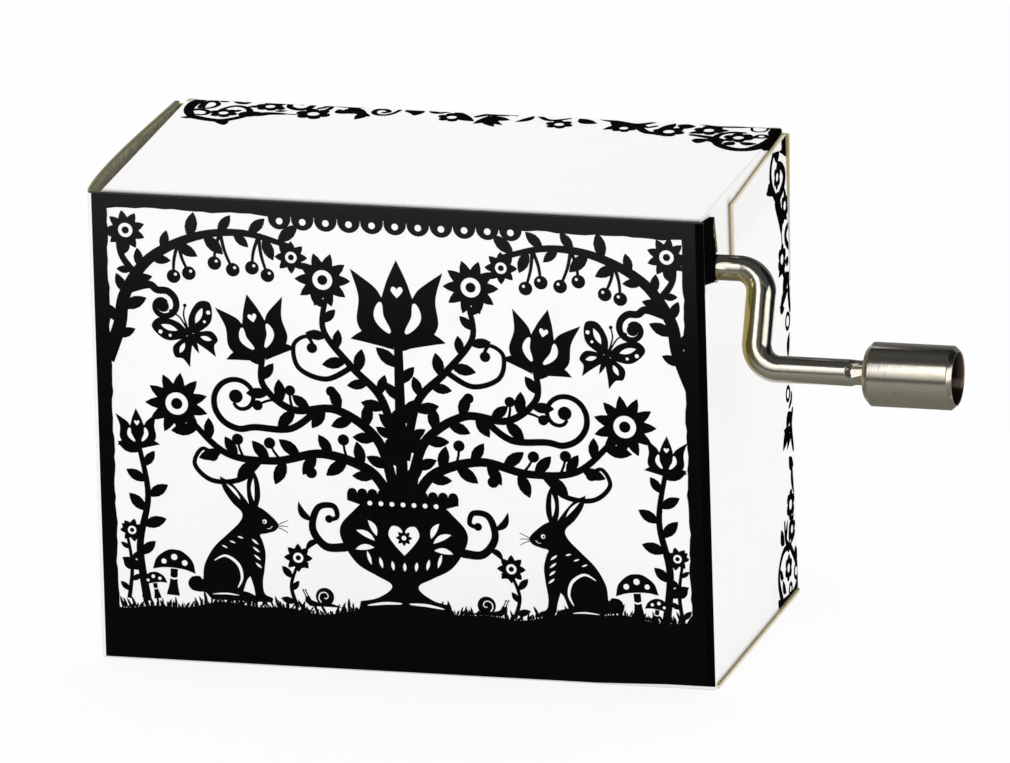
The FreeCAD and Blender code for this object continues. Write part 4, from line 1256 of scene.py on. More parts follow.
def vase_handle(cut):
    cut.stroke([(6.2, foot + 6.6), (8.2, foot + 6.6), (9.5, foot + 8.4), (8.9, foot + 10.6), (7.3, foot + 10.9),
                (6.9, foot + 9.8), (7.7, foot + 9.4)], 0.95, 0.4)
    cut.disc((7.75, foot + 9.5), 0.42)
    cut.leaf((9.2, foot + 9.2), (10.9, foot + 11.2), 0.75, bend=-0.2)
    cut.leaf((8.6, foot + 7.1), (10.3, foot + 5.9), 0.65, bend=0.2)


LOW_STEM = [(1.2, 18.2), (3.4, 21.2), (8.2, 22.7), (13.2, 21.7), (18.2, 22.2), (21.8, 25.4)]
MIDDLE_STEM = [(0.8, 19.0), (2.4, 24.4), (6.6, 27.4), (11.2, 27.2), (14.2, 29.6), (14.2, 32.6)]
HIGH_STEM = [(0.4, 22.5), (1.8, 28.6), (4.9, 32.0), (7.7, 35.6), (7.5, 38.8)]


def bouquet_side(cut):
    """Half of the flowers in the vase."""
    cut.stroke([(8.4, 27.5), (11.4, 25.2), *volute((16.8, 28.0), 3.3, 0.7, 240, 1.2)], 0.75, 0.36)
    cut.disc((17.1, 28.3), 0.72)
    cut.stroke([(14.6, 21.8), (16.8, 19.6), (19.8, 19.3), (21.6, 20.9), (20.8, 22.6), (19.5, 22.0)], 0.62, 0.36)
    cut.disc((19.7, 21.9), 0.58)
    cut.stroke([(4.9, 32.0), (7.6, 30.6), (10.4, 31.6), (10.9, 34.0), (9.5, 35.0), (8.8, 33.9)], 0.62, 0.34)
    cut.disc((9.0, 33.8), 0.55)
    stem(cut, LOW_STEM, 1.15, 0.6, 1.6, 2.7, 1.25, seed=2)
    flower(cut, (23.3, 27.2), 3.3, petals=11, width=1.25)
    stem(cut, MIDDLE_STEM, 1.15, 0.6, 1.55, 2.5, 1.2, seed=5)
    tulip(cut, (14.2, 32.3), 12, 6.0)
    stem(cut, HIGH_STEM, 1.0, 0.55, 1.5, 2.3, 1.1, seed=8)
    flower(cut, (7.7, 41.0), 2.9, petals=10, width=1.2)
    berries(cut, LOW_STEM, ((0.30, 1), (0.44, -1), (0.58, 1), (0.74, 1)), 1.9, 0.6)
    berries(cut, MIDDLE_STEM, ((0.42, 1), (0.60, 1), (0.72, -1)), 1.8, 0.55)


vase(front)
front.both_sides(vase_handle)
stem(front, [(0, 18), (0, 22), (0, 26), (0, 30.5), (0, 34.6)], 1.3, 0.9, 1.6, 2.7, 1.2, angle=0.75, seed=3)
front.both_sides(bouquet_side)
tulip(front, (0, 34.2), 0, 8.0)


# %% Hares, toadstools, side flowers and corners
def garden_side(cut):
    """Half of the ground's animals and plants."""
    hare(cut, (22.0, ground(17) - 0.35), 0.92)
    stem(cut, [(27.0, 6.2), (27.6, 12.0), (26.6, 17.4), (27.4, 22.6)], 0.9, 0.5, 1.55, 2.3, 1.1, bare=0.2, seed=11)
    tulip(cut, (27.4, 22.3), 3, 3.6)
    toadstool(cut, (24.3, ground(24) - 0.2), 3.1, lean=-4)
    toadstool(cut, (25.9, ground(26) - 0.2), 1.8, lean=10)
    snail(cut, (8.4, ground(9) + 0.05), 1.45)
    stem(cut, [(11.3, 6.3), (11.9, 8.6), (11.2, 10.8)], 0.45, 0.3, 1.0, 1.5, 0.7, seed=4)
    flower(cut, (11.1, 11.6), 1.5, petals=8, width=0.8)
    stem(cut, [(28.9, 6.4), (28.5, 9.8), (28.9, 13.0)], 0.45, 0.3, 1.0, 1.3, 0.6, seed=6)
    flower(cut, (28.4, 13.6), 1.25, petals=7, width=0.7)


GARLAND = [(30.4, 31.5), (29.0, 35.2), (28.3, 38.6), (25.6, 42.4), (20.8, 44.9), (15.8, 45.5), (11.2, 44.4)]


def corner(cut):
    """Half of the garland along the top, with hanging berries, a curl and a row of lace."""
    for step in range(1, 6):
        cut.disc((2.4 * step, TOP - 1.75), 1.18, BLACK, 20)
        cut.disc((2.4 * step, TOP - 2.05), 0.36, WHITE, 12)
    stem(cut, GARLAND, 1.5, 0.55, 1.5, 2.5, 1.15, bare=0.04, seed=13)
    cut.stroke([(28.2, 38.9), (25.9, 39.6), *volute((24.4, 37.5), 1.7, 0.5, 70, 1.15, 12)], 0.85, 0.4)
    cut.disc((24.4, 37.4), 0.62)
    stem(cut, [(27.2, 40.6), (28.6, 42.6), (28.9, 44.6)], 0.8, 0.5, 1.3, 1.7, 0.85, seed=17)
    flower(cut, (28.1, 45.2), 2.1, petals=9, width=1.0)
    flower(cut, (10.9, 43.2), 1.7, petals=8, width=0.9)
    for top, left, right in (((22.6, 44.2), (21.6, 41.0), (23.2, 40.6)), ((18.2, 45.4), (17.0, 41.6), (18.9, 42.2)),
                             ((14.2, 45.3), (13.4, 41.2), (15.0, 41.9))):
        for berry in (left, right):
            middle = ((top[0] + berry[0]) / 2 + 0.2, (top[1] + berry[1]) / 2)
            cut.stroke([top, middle, berry], 0.4, 0.26, steps=4)
            cut.disc(berry, 0.72, sides=16)
            cut.disc((berry[0] - 0.2, berry[1] + 0.22), 0.17, WHITE, 8)
    butterfly(cut, (21.6, 34.4), 24, 3.0)


front.both_sides(garden_side)
front.both_sides(corner)
front.disc((0, TOP - 1.75), 1.18, BLACK, 20)
front.disc((0, TOP - 2.05), 0.36, WHITE, 12)
ink_film("print_front", front, on_front)

# %% [markdown]
# ### The black on the tab
#
# The front print runs round the sharp fold and over the narrow tab. A thin white line is left at the fold, where
# the ink has cracked, and the tab's free edge is rubbed bare. A second film blackens the rim on top of the tab.
# Mirrors don't see the patch, because the wire beside it would show it as a black end.

# %% Tab print
WORN_STRIP = 0.75
tab = Cutting()
tab_edge = []
for step in range(19):
    share = step / 18
    ragged = 0.16 * math.sin(9.1 * share + 1) + 0.11 * math.sin(23.0 * share)
    tab_edge.append((TAB_TOP[0] + (tab_foot[0] - TAB_TOP[0]) * share - WORN_STRIP + ragged,
                     TAB_TOP[1] + (tab_foot[1] - TAB_TOP[1]) * share))
tab_edge[:1] = [(TAB_TOP[0] - 0.01, TAB_TOP[1]), (TAB_TOP[0] + 0.02, TAB_TOP[1] - 0.13)]
shore = arc((SHAFT_Y, SHAFT_Z), NOTCH_R + 0.01, TAB_FOOT_ANGLE + 14, 235, 16)
ragged_foot = [(FRONT + 0.01 + 3.8 * k / 12, 42.5 - 0.215 * (3.8 * k / 12) + 0.06 * math.sin(2.6 * k))
               for k in range(13)]
tab.shape([*ragged_foot, *shore[::-1], *tab_edge[::-1], (WALL_FRONT, TOP - 0.2), (WALL_FRONT, PRINT_TOP),
           (FRONT + 0.01, PRINT_TOP)])
tab_print = ink_film("print_tab", tab, on_right)
tab_print.visible_glossy = False

tab_run = TAB_TOP[0] - WALL_FRONT
tab_rim = Cutting()
tab_rim.bar((0, -0.02), (tab_run, BOARD), BLACK)
ink_film("print_tab_rim", tab_rim, lambda along, back, deep: Vector(
    (RIGHT - back, WALL_FRONT + along, TOP - 0.2 - 0.5 * along / tab_run - deep)))

# %% [markdown]
# ## The scroll border
#
# A traditional border of scrolls and daisies runs along the rear edge of the lid and down the rear edge of the
# side walls, and is cut off by the folds. Two drawings are enough, one as long as the lid and one as high as a
# wall; x runs along the edge and y away from it, in millimetres. Each is a table of five simple motifs, and a small
# function places it on a wall. White shapes painted last trim it at the folds and at the cut edges.

# %% Border motifs
def daisy(cut, at, reach):
    """A small flower of the border: six round petals and a white centre."""
    core = 0.64 * reach
    for step in range(6):
        angle = 0.2 + math.pi / 3 * step
        cut.disc((at[0] + core * math.cos(angle), at[1] + core * math.sin(angle)), 0.36 * reach, sides=14)
    cut.disc(at, core)
    cut.disc(at, 0.34 * reach, WHITE, 14)


def scrollwork(cut, drawing):
    """Draws a table of motifs: blobs, curls (first, middle and last width), leaves, daisies and rings."""
    for outline in drawing["blobs"]:
        cut.blob(outline)
    for (first, middle, last), points in drawing["curls"]:
        cut.stroke(points, first, last, middle=middle)
    for root, tip, width in drawing["leaves"]:
        cut.leaf(root, tip, width, bend=0.12 if root[0] < tip[0] else -0.12)
    for at, reach in drawing["daisies"]:
        daisy(cut, at, reach)
    for at, radius in drawing["rings"]:
        cut.disc(at, radius)
        cut.disc(at, radius - 0.42, WHITE, 14)


# %% The border along the lid, from its left end
LID_BORDER = {
    "blobs": [
        [(1.4, -0.6), (0.6, 0.9), (0.5, 2.6), (0.8, 4.2), (1.5, 5.7), (2.5, 6.4), (2.4, 5.5), (1.8, 4.0), (1.6, 2.5),
         (1.8, 1.2), (2.3, -0.6)],
        [(4.8, 7.2), (5.4, 6.8), (6.3, 7.0), (6.1, 8.3)],
        [(23.0, 0.4), (23.5, -0.2), (24.7, -0.2), (25.1, 0.6), (24.4, 1.8), (23.8, 1.2)],
        [(61.4, -0.6), (62.8, -0.6), (62.8, 4.0), (62.3, 6.0), (61.6, 7.8), (60.2, 8.0), (61.3, 5.6), (61.7, 3.2),
         (61.3, 1.6)],
    ],
    "curls": [
        ((1.1, 0.75, 0.4), [(2.1, 5.9), (3.8, 6.6), (5.3, 6.8), (6.5, 6.0), (7.4, 4.7), (7.5, 3.2), (6.8, 2.0),
                            (5.7, 1.6), (5.0, 2.1), (4.5, 2.9)]),
        ((0.8, 0.55, 0.4), [(2.2, 2.6), (2.2, 1.1), (2.7, 0.4), (3.4, 0.7), (3.7, 1.6), (3.3, 2.6), (2.6, 2.9)]),
        ((0.7, 0.5, 0.35), [(1.8, 3.5), (2.5, 3.4), (3.3, 3.9), (3.4, 4.8), (2.9, 5.2), (2.4, 5.1)]),
        ((1.9, 1.3, 0.5), [(7.5, 4.2), (8.2, 4.0), (8.8, 4.0), (9.7, 3.6), (11.2, 3.5)]),
        ((0.26, 0.26, 0.26), [(11.1, 3.5), (12.0, 3.5), (12.8, 3.4)]),
        ((0.6, 0.7, 0.4), [(5.1, -0.2), (5.6, 0.4), (6.3, 0.5), (6.6, -0.1), (7.0, -0.6)]),
        ((0.5, 0.8, 0.4), [(10.9, -0.3), (11.1, 1.0), (12.1, 1.7), (13.0, 1.3), (13.3, 0.2), (13.4, -0.6)]),
        ((0.4, 0.4, 0.3), [(11.1, -0.4), (11.7, -0.4), (12.2, 0.1)]),
        ((0.5, 0.5, 0.5), [(14.2, 1.0), (14.7, 0.5), (15.0, -0.4)]),
        ((0.5, 0.5, 0.6), [(15.2, -0.5), (15.3, 0.8), (14.9, 1.9)]),
        ((0.35, 0.6, 0.35), [(15.3, -0.4), (15.9, -0.1), (17.4, 0.0), (20.1, -0.4)]),
        ((0.35, 0.6, 0.45), [(22.6, -0.4), (22.1, 1.4), (21.3, 2.2), (20.4, 2.0), (20.0, 1.2), (20.3, 0.4),
                             (21.1, 0.4), (21.5, 1.0), (21.0, 1.4)]),
        ((0.5, 0.4, 0.3), [(26.8, 0.5), (27.4, 0.1), (28.0, -0.3)]),
        ((0.5, 0.7, 0.6), [(30.7, 1.2), (31.8, 0.3), (33.6, 0.2)]),
        ((0.24, 0.24, 0.2), [(33.5, 0.2), (34.1, 0.1), (34.8, 0.2)]),
        ((0.5, 0.6, 0.3), [(36.9, -0.3), (37.9, 0.9), (38.9, 1.1), (40.3, 0.2)]),
        ((0.4, 0.9, 0.35), [(43.4, -0.1), (45.4, 0.6), (47.4, 1.2), (49.1, 0.1)]),
        ((0.9, 0.9, 0.9), [(47.6, 1.3), (48.3, 2.6), (49.2, 3.6), (50.2, 3.8), (51.3, 4.2)]),
        ((0.5, 0.5, 0.4), [(48.1, 1.2), (48.8, 1.9), (49.6, 1.3)]),
        ((0.25, 0.5, 0.35), [(53.6, -0.2), (55.5, 0.5), (58.0, 0.3), (59.6, -0.1), (61.8, 0.2)]),
        ((0.5, 0.8, 1.1), [(53.8, 3.7), (55.0, 4.0), (56.2, 4.4), (57.2, 5.1)]),
        ((0.7, 0.8, 0.9), [(54.8, 5.2), (56.0, 5.2), (57.2, 5.8)]),
        ((1.3, 0.85, 0.5), [(61.8, 6.6), (60.8, 7.7), (59.4, 7.9), (57.8, 7.0), (56.9, 5.7), (56.5, 4.2), (56.8, 2.9),
                            (57.8, 2.2), (59.0, 2.2)]),
        ((0.28, 0.28, 0.28), [(59.3, 0.4), (59.6, 1.3), (60.3, 1.6), (60.9, 1.2), (61.0, 0.4)]),
    ],
    "leaves": [
        ((2.5, 5.9), (1.0, 6.3), 0.7), ((9.9, 2.6), (11.2, 2.3), 0.6), ((8.2, 0.9), (6.8, 1.7), 0.8),
        ((9.6, 0.6), (10.5, -0.5), 0.6), ((9.8, 1.9), (10.8, 1.5), 0.8), ((17.2, -0.2), (19.5, 2.2), 1.8),
        ((16.2, 1.0), (17.4, 2.4), 1.2), ((16.9, 0.8), (18.3, 2.2), 1.2), ((18.8, 1.3), (18.7, 4.2), 1.2),
        ((18.7, 1.6), (20.0, 2.9), 1.1), ((25.4, -0.3), (27.1, 0.7), 0.8), ((28.3, -0.4), (30.9, 2.8), 1.7),
        ((32.0, 0.6), (31.0, 3.6), 1.3), ((31.9, 0.6), (33.4, 4.3), 1.2), ((32.1, 0.8), (34.1, 3.6), 1.0),
        ((32.1, 0.6), (34.4, 1.8), 1.4), ((35.0, 2.3), (36.5, -0.1), 0.9), ((41.2, 0.0), (43.4, 1.5), 1.5),
        ((44.5, 3.4), (45.9, 1.0), 1.2), ((44.6, 0.7), (47.9, 2.1), 1.5), ((50.0, 2.2), (51.3, 0.1), 1.1),
        ((51.6, 0.6), (53.6, 0.9), 1.6), ((54.6, 2.0), (53.4, 3.2), 0.9), ((55.6, 1.4), (57.3, 1.7), 1.0),
        ((56.0, 5.5), (54.3, 5.4), 1.5), ((60.6, 3.2), (59.9, 3.6), 0.9), ((59.3, 5.5), (61.2, 5.7), 1.1),
        ((57.8, 6.6), (58.7, 5.3), 1.3), ((5.6, 3.4), (6.6, 2.9), 0.7),
    ],
    "daisies": [((5.0, 4.2), 1.5), ((14.1, 3.0), 1.85), ((3.7, -0.9), 1.5), ((9.1, 1.2), 1.5), ((28.3, 1.8), 1.5),
                ((39.7, 2.4), 1.45), ((46.5, 2.6), 1.35), ((51.3, 3.0), 1.7), ((55.2, 1.9), 1.6), ((58.8, 3.9), 1.6)],
    "rings": [((61.0, 3.1), 0.75)],
}

# %% The border down a side wall, from its top end
WALL_BORDER = {
    "blobs": [
        [(-0.4, 1.6), (-0.4, -0.4), (2.1, -0.4), (2.1, 0.4), (1.6, 1.4), (0.9, 2.8), (0.9, 1.8)],
        [(0.4, 5.4), (0.9, 2.8), (1.8, 3.4), (1.6, 4.2), (1.0, 4.8)],
        [(3.0, 7.0), (3.9, 6.3), (4.9, 5.1), (4.0, 8.0), (3.5, 7.7)],
        [(47.0, 7.6), (47.4, 5.5), (47.8, 2.5), (48.5, 4.4), (48.7, 6.7)],
    ],
    "curls": [
        ((0.6, 0.9, 0.7), [(0.6, 5.2), (1.5, 6.1), (2.6, 6.4), (3.9, 5.9), (5.1, 4.8), (6.2, 3.7)]),
        ((0.6, 1.1, 1.0), [(2.0, 3.5), (2.7, 2.0), (3.8, 1.0), (4.8, 1.5), (5.3, 2.5), (5.7, 3.7)]),
        ((2.0, 1.6, 0.9), [(5.8, 4.0), (7.1, 3.3), (8.3, 2.8), (9.1, 2.7)]),
        ((0.35, 0.3, 0.3), [(9.0, 2.7), (10.0, 2.6), (10.9, 2.5)]),
        ((0.5, 0.9, 0.5), [(9.4, 0.0), (9.9, 1.0), (10.8, 1.0), (11.9, -0.1)]),
        ((0.5, 0.9, 0.5), [(14.3, -0.2), (16.2, 0.4), (18.4, 0.1)]),
        ((0.4, 0.6, 0.4), [(27.1, 0.4), (27.8, 0.5), (28.3, 1.4)]),
        ((0.5, 0.9, 0.5), [(28.9, 0.1), (30.4, 0.9), (33.1, 0.2)]),
        ((0.5, 0.6, 1.0), [(39.7, 4.3), (41.4, 4.1), (42.7, 3.0)]),
        ((0.7, 0.7, 1.1), [(42.7, 2.3), (42.5, 4.9), (43.6, 6.6), (45.2, 7.1), (47.4, 6.1)]),
        ((0.7, 0.9, 1.3), [(42.7, 2.4), (45.1, 0.2), (47.1, -0.1), (48.1, 1.6), (48.0, 5.6)]),
    ],
    "leaves": [
        ((5.1, 1.2), (6.7, 0.3), 0.8), ((7.7, 1.1), (8.8, 2.4), 1.3), ((6.5, 1.6), (8.8, 0.3), 1.0),
        ((13.2, 2.3), (13.8, 4.2), 1.0), ((13.2, 2.4), (14.4, 1.6), 0.9), ((12.6, 0.4), (13.6, 0.9), 1.2),
        ((14.4, 0.1), (16.1, 2.7), 1.8), ((16.0, 0.6), (17.6, 4.0), 1.2), ((16.9, 4.0), (17.6, 2.3), 1.0),
        ((20.6, 0.5), (23.2, 1.2), 1.1), ((29.1, 0.6), (30.1, 2.7), 1.4), ((30.5, 0.7), (30.1, 3.7), 1.1),
        ((30.6, 1.1), (32.1, 4.2), 1.5), ((31.2, 0.7), (32.5, 2.6), 0.9), ((33.4, 2.0), (34.8, 0.3), 1.4),
        ((34.0, 0.8), (37.8, 0.3), 0.9), ((39.8, 0.6), (42.4, 2.8), 1.4), ((41.7, 0.3), (42.6, 2.1), 1.0),
        ((39.7, 3.0), (41.9, 3.7), 0.6), ((40.0, 5.8), (41.9, 4.6), 1.4), ((45.4, 5.6), (47.1, 4.4), 1.0),
        ((44.0, 6.5), (45.3, 5.3), 0.9), ((43.3, 0.5), (44.8, -0.4), 1.2),
    ],
    "daisies": [((3.3, 3.8), 1.3), ((7.1, 1.1), 1.4), ((12.3, 2.7), 1.6), ((24.4, 1.4), 1.3), ((38.5, 1.8), 1.6),
                ((41.2, 1.5), 1.3), ((44.8, 3.2), 1.4)],
    "rings": [((19.3, 1.1), 1.0), ((26.8, 1.7), 0.9), ((46.0, 0.3), 0.9), ((47.2, 2.6), 0.75)],
}

# %% [markdown]
# A drawing that runs over a rounded fold has to bend with it. The number that measures the way to the fold is
# turned into an angle along the arc, and what is left goes down the other side. Narrow white strips are painted
# first along each arc. They don't show, but they split the triangles there, so that the film can follow the curve.

# %% Print the lid's border, with its ends led over the folds
EDGE_SHIFT = 0.25
CORNER_FOLD = 0.15


def fold_over(value, edge, radius):
    """Where a flat measure ends up at a rounded edge: (position, drop, angle of the surface)."""
    past = value - (edge - radius)
    if past <= 0:
        return value, 0.0, 0.0
    angle = min(past / radius, math.pi / 2)
    rest = max(0.0, past - radius * math.pi / 2)
    return edge - radius + radius * math.sin(angle), radius * (1 - math.cos(angle)) + rest, angle


def over_lid(s, t, deep):
    """Lid place for s along the rear edge and t forward of it, led over the right fold and the rear fold."""
    x, right_drop, right_angle = fold_over(lid_low.x + s, lid_high.x, CORNER_FOLD)
    y, rear_drop, rear_angle = fold_over(BACK - EDGE_SHIFT - t, BACK, SOFT_FOLD)
    outwards = Vector((math.sin(right_angle), math.sin(rear_angle), math.cos(right_angle) * math.cos(rear_angle)))
    return Vector((x, y, TOP - right_drop - rear_drop)) - outwards.normalized() * deep


def guides(cut, low, high, count, crosswise):
    """White strips between low and high, to split the film where a fold bends it."""
    for step in range(count):
        near, far = low + (high - low) * step / count, low + (high - low) * (step + 1) / count
        if crosswise:
            cut.bar((near, -1), (far, 12))
        else:
            cut.bar((-1, near), (70, far))


lid_length = lid_high.x - lid_low.x
strip = Cutting()
rear_start = SOFT_FOLD - EDGE_SHIFT
guides(strip, rear_start - SOFT_FOLD * math.pi / 2, rear_start, 6, False)
fold_end = lid_length + CORNER_FOLD * (math.pi / 2 - 1)
guides(strip, lid_length - CORNER_FOLD, fold_end, 5, True)
scrollwork(strip, LID_BORDER)
EAR_REAR = BACK - EDGE_SHIFT - ear_high.y
strip.shape([
    (61.8, 0.1), (fold_end + 0.33, 0.1), (fold_end + 0.33, EAR_REAR + 0.02), (fold_end + 1.3, EAR_REAR + 0.02),
    (fold_end + 1.3, 3.4), (fold_end + 0.7, 5.0), (fold_end, 7.4), (61.6, 7.4)])
for low, high in (((-9, -9), (80, -0.56)), ((-9, -9), (0.17, 20)), ((fold_end + 0.34, -9), (80, EAR_REAR))):
    strip.bar(low, high)
ink_film("print_lid", strip, over_lid)


# %% Print the side walls' borders
def on_bulge(y, z, deep):
    return Vector((LEFT - bulge(y, z) + deep, y, z))


side_length = TOP - 0.6
edge_slope = 1.2 / (WALL_REAR - SLOT_Y)


def side_strip(edge, top_end, lean):
    """A side wall's border, cut off at its rear edge, at its top (which leans) and at its foot."""
    strip = Cutting()
    scrollwork(strip, WALL_BORDER)
    strip.bar((-9, -9), (side_length + 9, edge))
    strip.bar((-9, -9), (BACK_RUN, 0.05))
    strip.shape([(-9, -9), (top_end, -9), (top_end, 0), (top_end + 12 * lean, 12), (-9, 12)], WHITE)
    strip.bar((side_length - 0.15, -9), (side_length + 9, 12))
    return strip


ink_film("print_right", side_strip(-0.24, 0.0, edge_slope),
         lambda s, t, deep: on_right(WALL_REAR - t, TOP - 0.6 - s, deep))
ink_film("print_left", side_strip(0.05, 0.4, 0.0),
         lambda s, t, deep: on_bulge(WALL_REAR - t, side_length + 0.2 - s, deep), thick=0.05)

# %% [markdown]
# ### The back
#
# The border goes on round the folds, so the back carries it along all four of its edges. The photograph doesn't
# show the back, so its middle stays bare.

# %% Back print
back_print = Cutting()
for at, angle, drawing in (((LEFT + 0.9, 0), 0, LID_BORDER), ((RIGHT - 0.9, UNDER_LID), 180, LID_BORDER),
                           ((LEFT, UNDER_LID), -90, WALL_BORDER), ((RIGHT, 0), 90, WALL_BORDER)):
    back_print.placed(at, angle)
    scrollwork(back_print, drawing)
    back_print.done()
EDGE = SOFT_FOLD + 0.02
for low, high in (((LEFT - 9, -9), (RIGHT + 9, FOOT_FOLD + 0.02)), ((LEFT - 9, UNDER_LID - 0.15), (RIGHT + 9, 60)),
                  ((LEFT - 9, -9), (LEFT + EDGE, 60)), ((RIGHT - EDGE + 0.1, -9), (RIGHT + 9, 60))):
    back_print.bar(low, high)
ink_film("print_back", back_print, on_back)

# %% [markdown]
# ## Nickel plate
#
# The crank and the knob are nickel plated steel: a warm grey metal with fine drawing or turning marks. The marks
# follow the piece, so they read its UV map, which holds millimetres along the piece and round it. They change the
# gloss and the relief a little and leave the colour nearly alone.

# %% Nickel finishes
def nickel(name, colour, gloss, marks, blotch):
    """Plated metal; marks is how many lines a millimetre holds along and round the piece."""
    material, tree, shader = finish(name, colour, gloss, metallic=1.0)
    uv = add(tree, "ShaderNodeUVMap", uv_map="length_and_turn").outputs["UV"]
    lines = add(tree, "ShaderNodeTexNoise", {
        "Vector": vectors(tree, "MULTIPLY", uv, marks), "Scale": 1.0, "Detail": 4.0,
        "Roughness": 0.65}).outputs["Fac"]
    cloud = grain(tree, 1.6, detail=4.0)
    spots = grain(tree, 0.45, detail=4.0, rough=0.7)
    tone = blend(tree, between(tree, cloud, 0.35, 0.65, 0, 0.5), colour, [value * 0.92 for value in colour])
    tone = blend(tree, between(tree, spots, 0.52, 0.72, 0, 0.6), tone, blotch)
    # Painted reflection and shade, held by the mesh: a gold reflection, and darkening for shade and dark reflections.
    tone = blend(tree, attribute(tree, "painted_gold_reflection"), tone, REFLECTION_GOLD)
    tone = blend(tree, attribute(tree, "painted_shade_and_reflection"), tone, PAINTED_SHADE_BROWN)
    tree.links.new(tone, shader.inputs["Base Color"])
    varied = times(tree, between(tree, lines, 0.3, 0.7, 0.75, 1.35), between(tree, cloud, 0.3, 0.7, 0.85, 1.2), gloss)
    tree.links.new(varied, shader.inputs["Roughness"])
    relief(tree, shader, sums(tree, "ADD", lines, times(tree, spots, 0.8)), 0.010, 0.7)
    return material


NICKEL = srgb(214, 210, 200)
# Gold for painted warm reflections, dark brown for painted shade and dark reflections.
REFLECTION_GOLD, PAINTED_SHADE_BROWN = srgb(182, 165, 88), srgb(56, 48, 34)
wire_nickel = nickel("nickel_drawn_wire", NICKEL, 0.11, (0.35, 5.0, 1.0), srgb(196, 184, 164))
knob_nickel = nickel("nickel_turned_knob", NICKEL, 0.14, (7.0, 0.30, 1.0), srgb(204, 184, 164))
# The inner bevel's bronze tint warms its reflection.
bronzed = nickel("nickel_bronze_tint", srgb(250, 224, 176), 0.24, (7.0, 0.30, 1.0), srgb(190, 160, 110))
# The recess's pinkish colour and bright blotches are painted highlights.
recess_metal = nickel("nickel_in_recess", srgb(196, 168, 158), 0.32, (7.0, 0.30, 1.0), srgb(246, 204, 188))
recess_metal.node_tree.nodes["Principled BSDF"].inputs["Metallic"].default_value = 0.80

# %% [markdown]
# ## The crank wire
#
# A 2.6 mm wire is bent twice, pinched into two small ears before the knob, and peened over at its outer end. A
# bevelled curve would give the round parts, but not the pinch, so rings of points are set along the wire's centre
# line instead, and each ring's radius may change with the angle. The centre line is straight runs with two arcs.
# Bounced light doesn't see the wire, so its shade on the white wall stays as faint as it is in the photograph.

# %% The crank's centre line and its pinched part
RING = 120
WIRE_R, ARM_R, HANDLE_R = 1.3, 1.51, 1.36
BEND, BEND_STEPS = 2.5, 26
LEAN = math.radians(25)
wire_low = box_mm("crank_wire")[0]
knob_low, knob_high = box_mm("crank_knob")
washer_high = box_mm("knob_washer")[1]
ARM_X = RIGHT + 4.75
HANDLE_Y, HANDLE_Z = (knob_low.y + knob_high.y) / 2, (knob_low.z + knob_high.z) / 2
PINCH_X, PINCH_END = ARM_X + 9.65, knob_low.x - 0.1
PEEN_R = 1.95

along_x = Vector((1, 0, 0))
arm_way = Vector((0, -math.sin(LEAN), -math.cos(LEAN)))
across = along_x.cross(arm_way)
shaft_corner = Vector((ARM_X, SHAFT_Y, SHAFT_Z))
handle_corner = Vector((ARM_X, HANDLE_Y, HANDLE_Z))


def bend_points(corner, way_in, way_out):
    """Centre line through a right angle bend: (point, direction) pairs."""
    centre = corner - way_in * BEND + way_out * BEND
    for step in range(BEND_STEPS + 1):
        turn = math.pi / 2 * step / BEND_STEPS
        yield (centre - way_out * BEND * math.cos(turn) + way_in * BEND * math.sin(turn),
               way_in * math.cos(turn) + way_out * math.sin(turn))


FLATS = [(28, 1.00, 0.08), (-24, 1.30, -0.36), (80, 1.22, -0.02), (-70, 1.20, 0), (-112, 1.16, 0),
         (-150, 1.12, 0), (164, 1.14, 0), (128, 1.18, 0)]


def pinched(angle, along, share):
    """Radius at an angle up from the front: round at share 0, and cut to small flats at share 1.

    Along is 0 to 1 over the pinched length; the first two flats slope, so their meeting line runs up to the right.
    """
    reach = 1.85
    for middle, distance, slope in FLATS:
        lean = math.cos(angle - math.radians(middle))
        if lean > 0.3:
            reach = min(reach, (distance + slope * along) / lean)
    fine = 0.022 * math.sin(math.degrees(angle) * 2 * math.pi / 9) if 34 < math.degrees(angle) < 66 else 0.0
    return HANDLE_R + (reach + fine - HANDLE_R) * share


centre_line = [(Vector((wire_low.x + 0.2, SHAFT_Y, SHAFT_Z)), along_x),
               (Vector((RIGHT - 6, SHAFT_Y, SHAFT_Z)), along_x)]
centre_line += bend_points(shaft_corner, along_x, arm_way)
centre_line += bend_points(handle_corner, arm_way, along_x)
PINCH_STEPS = 26
pinch_run = PINCH_END - PINCH_X + 0.2
along_handle = [PINCH_X - 3, PINCH_X - 0.25]
along_handle += [PINCH_X - 0.2 + pinch_run * step / PINCH_STEPS for step in range(PINCH_STEPS + 1)]
along_handle += [PINCH_END + 0.02, washer_high.x - 0.02]
centre_line += [(Vector((x, HANDLE_Y, HANDLE_Z)), along_x) for x in along_handle]

# %% Set the rings of points, with their painted reflection and shade
bm = bmesh.new()
uv_layer = bm.loops.layers.uv.new("length_and_turn")
painted_gold_reflection = bm.verts.layers.float.new("painted_gold_reflection")
painted_shade_and_reflection = bm.verts.layers.float.new("painted_shade_and_reflection")
rings, lengths = [], []
travelled = 0.0
UPPER_BEND_END = BEND_STEPS + 2


def ramp(value, start, end):
    """0 at start and 1 at end, held outside."""
    return min(1.0, max(0.0, (value - start) / (end - start)))


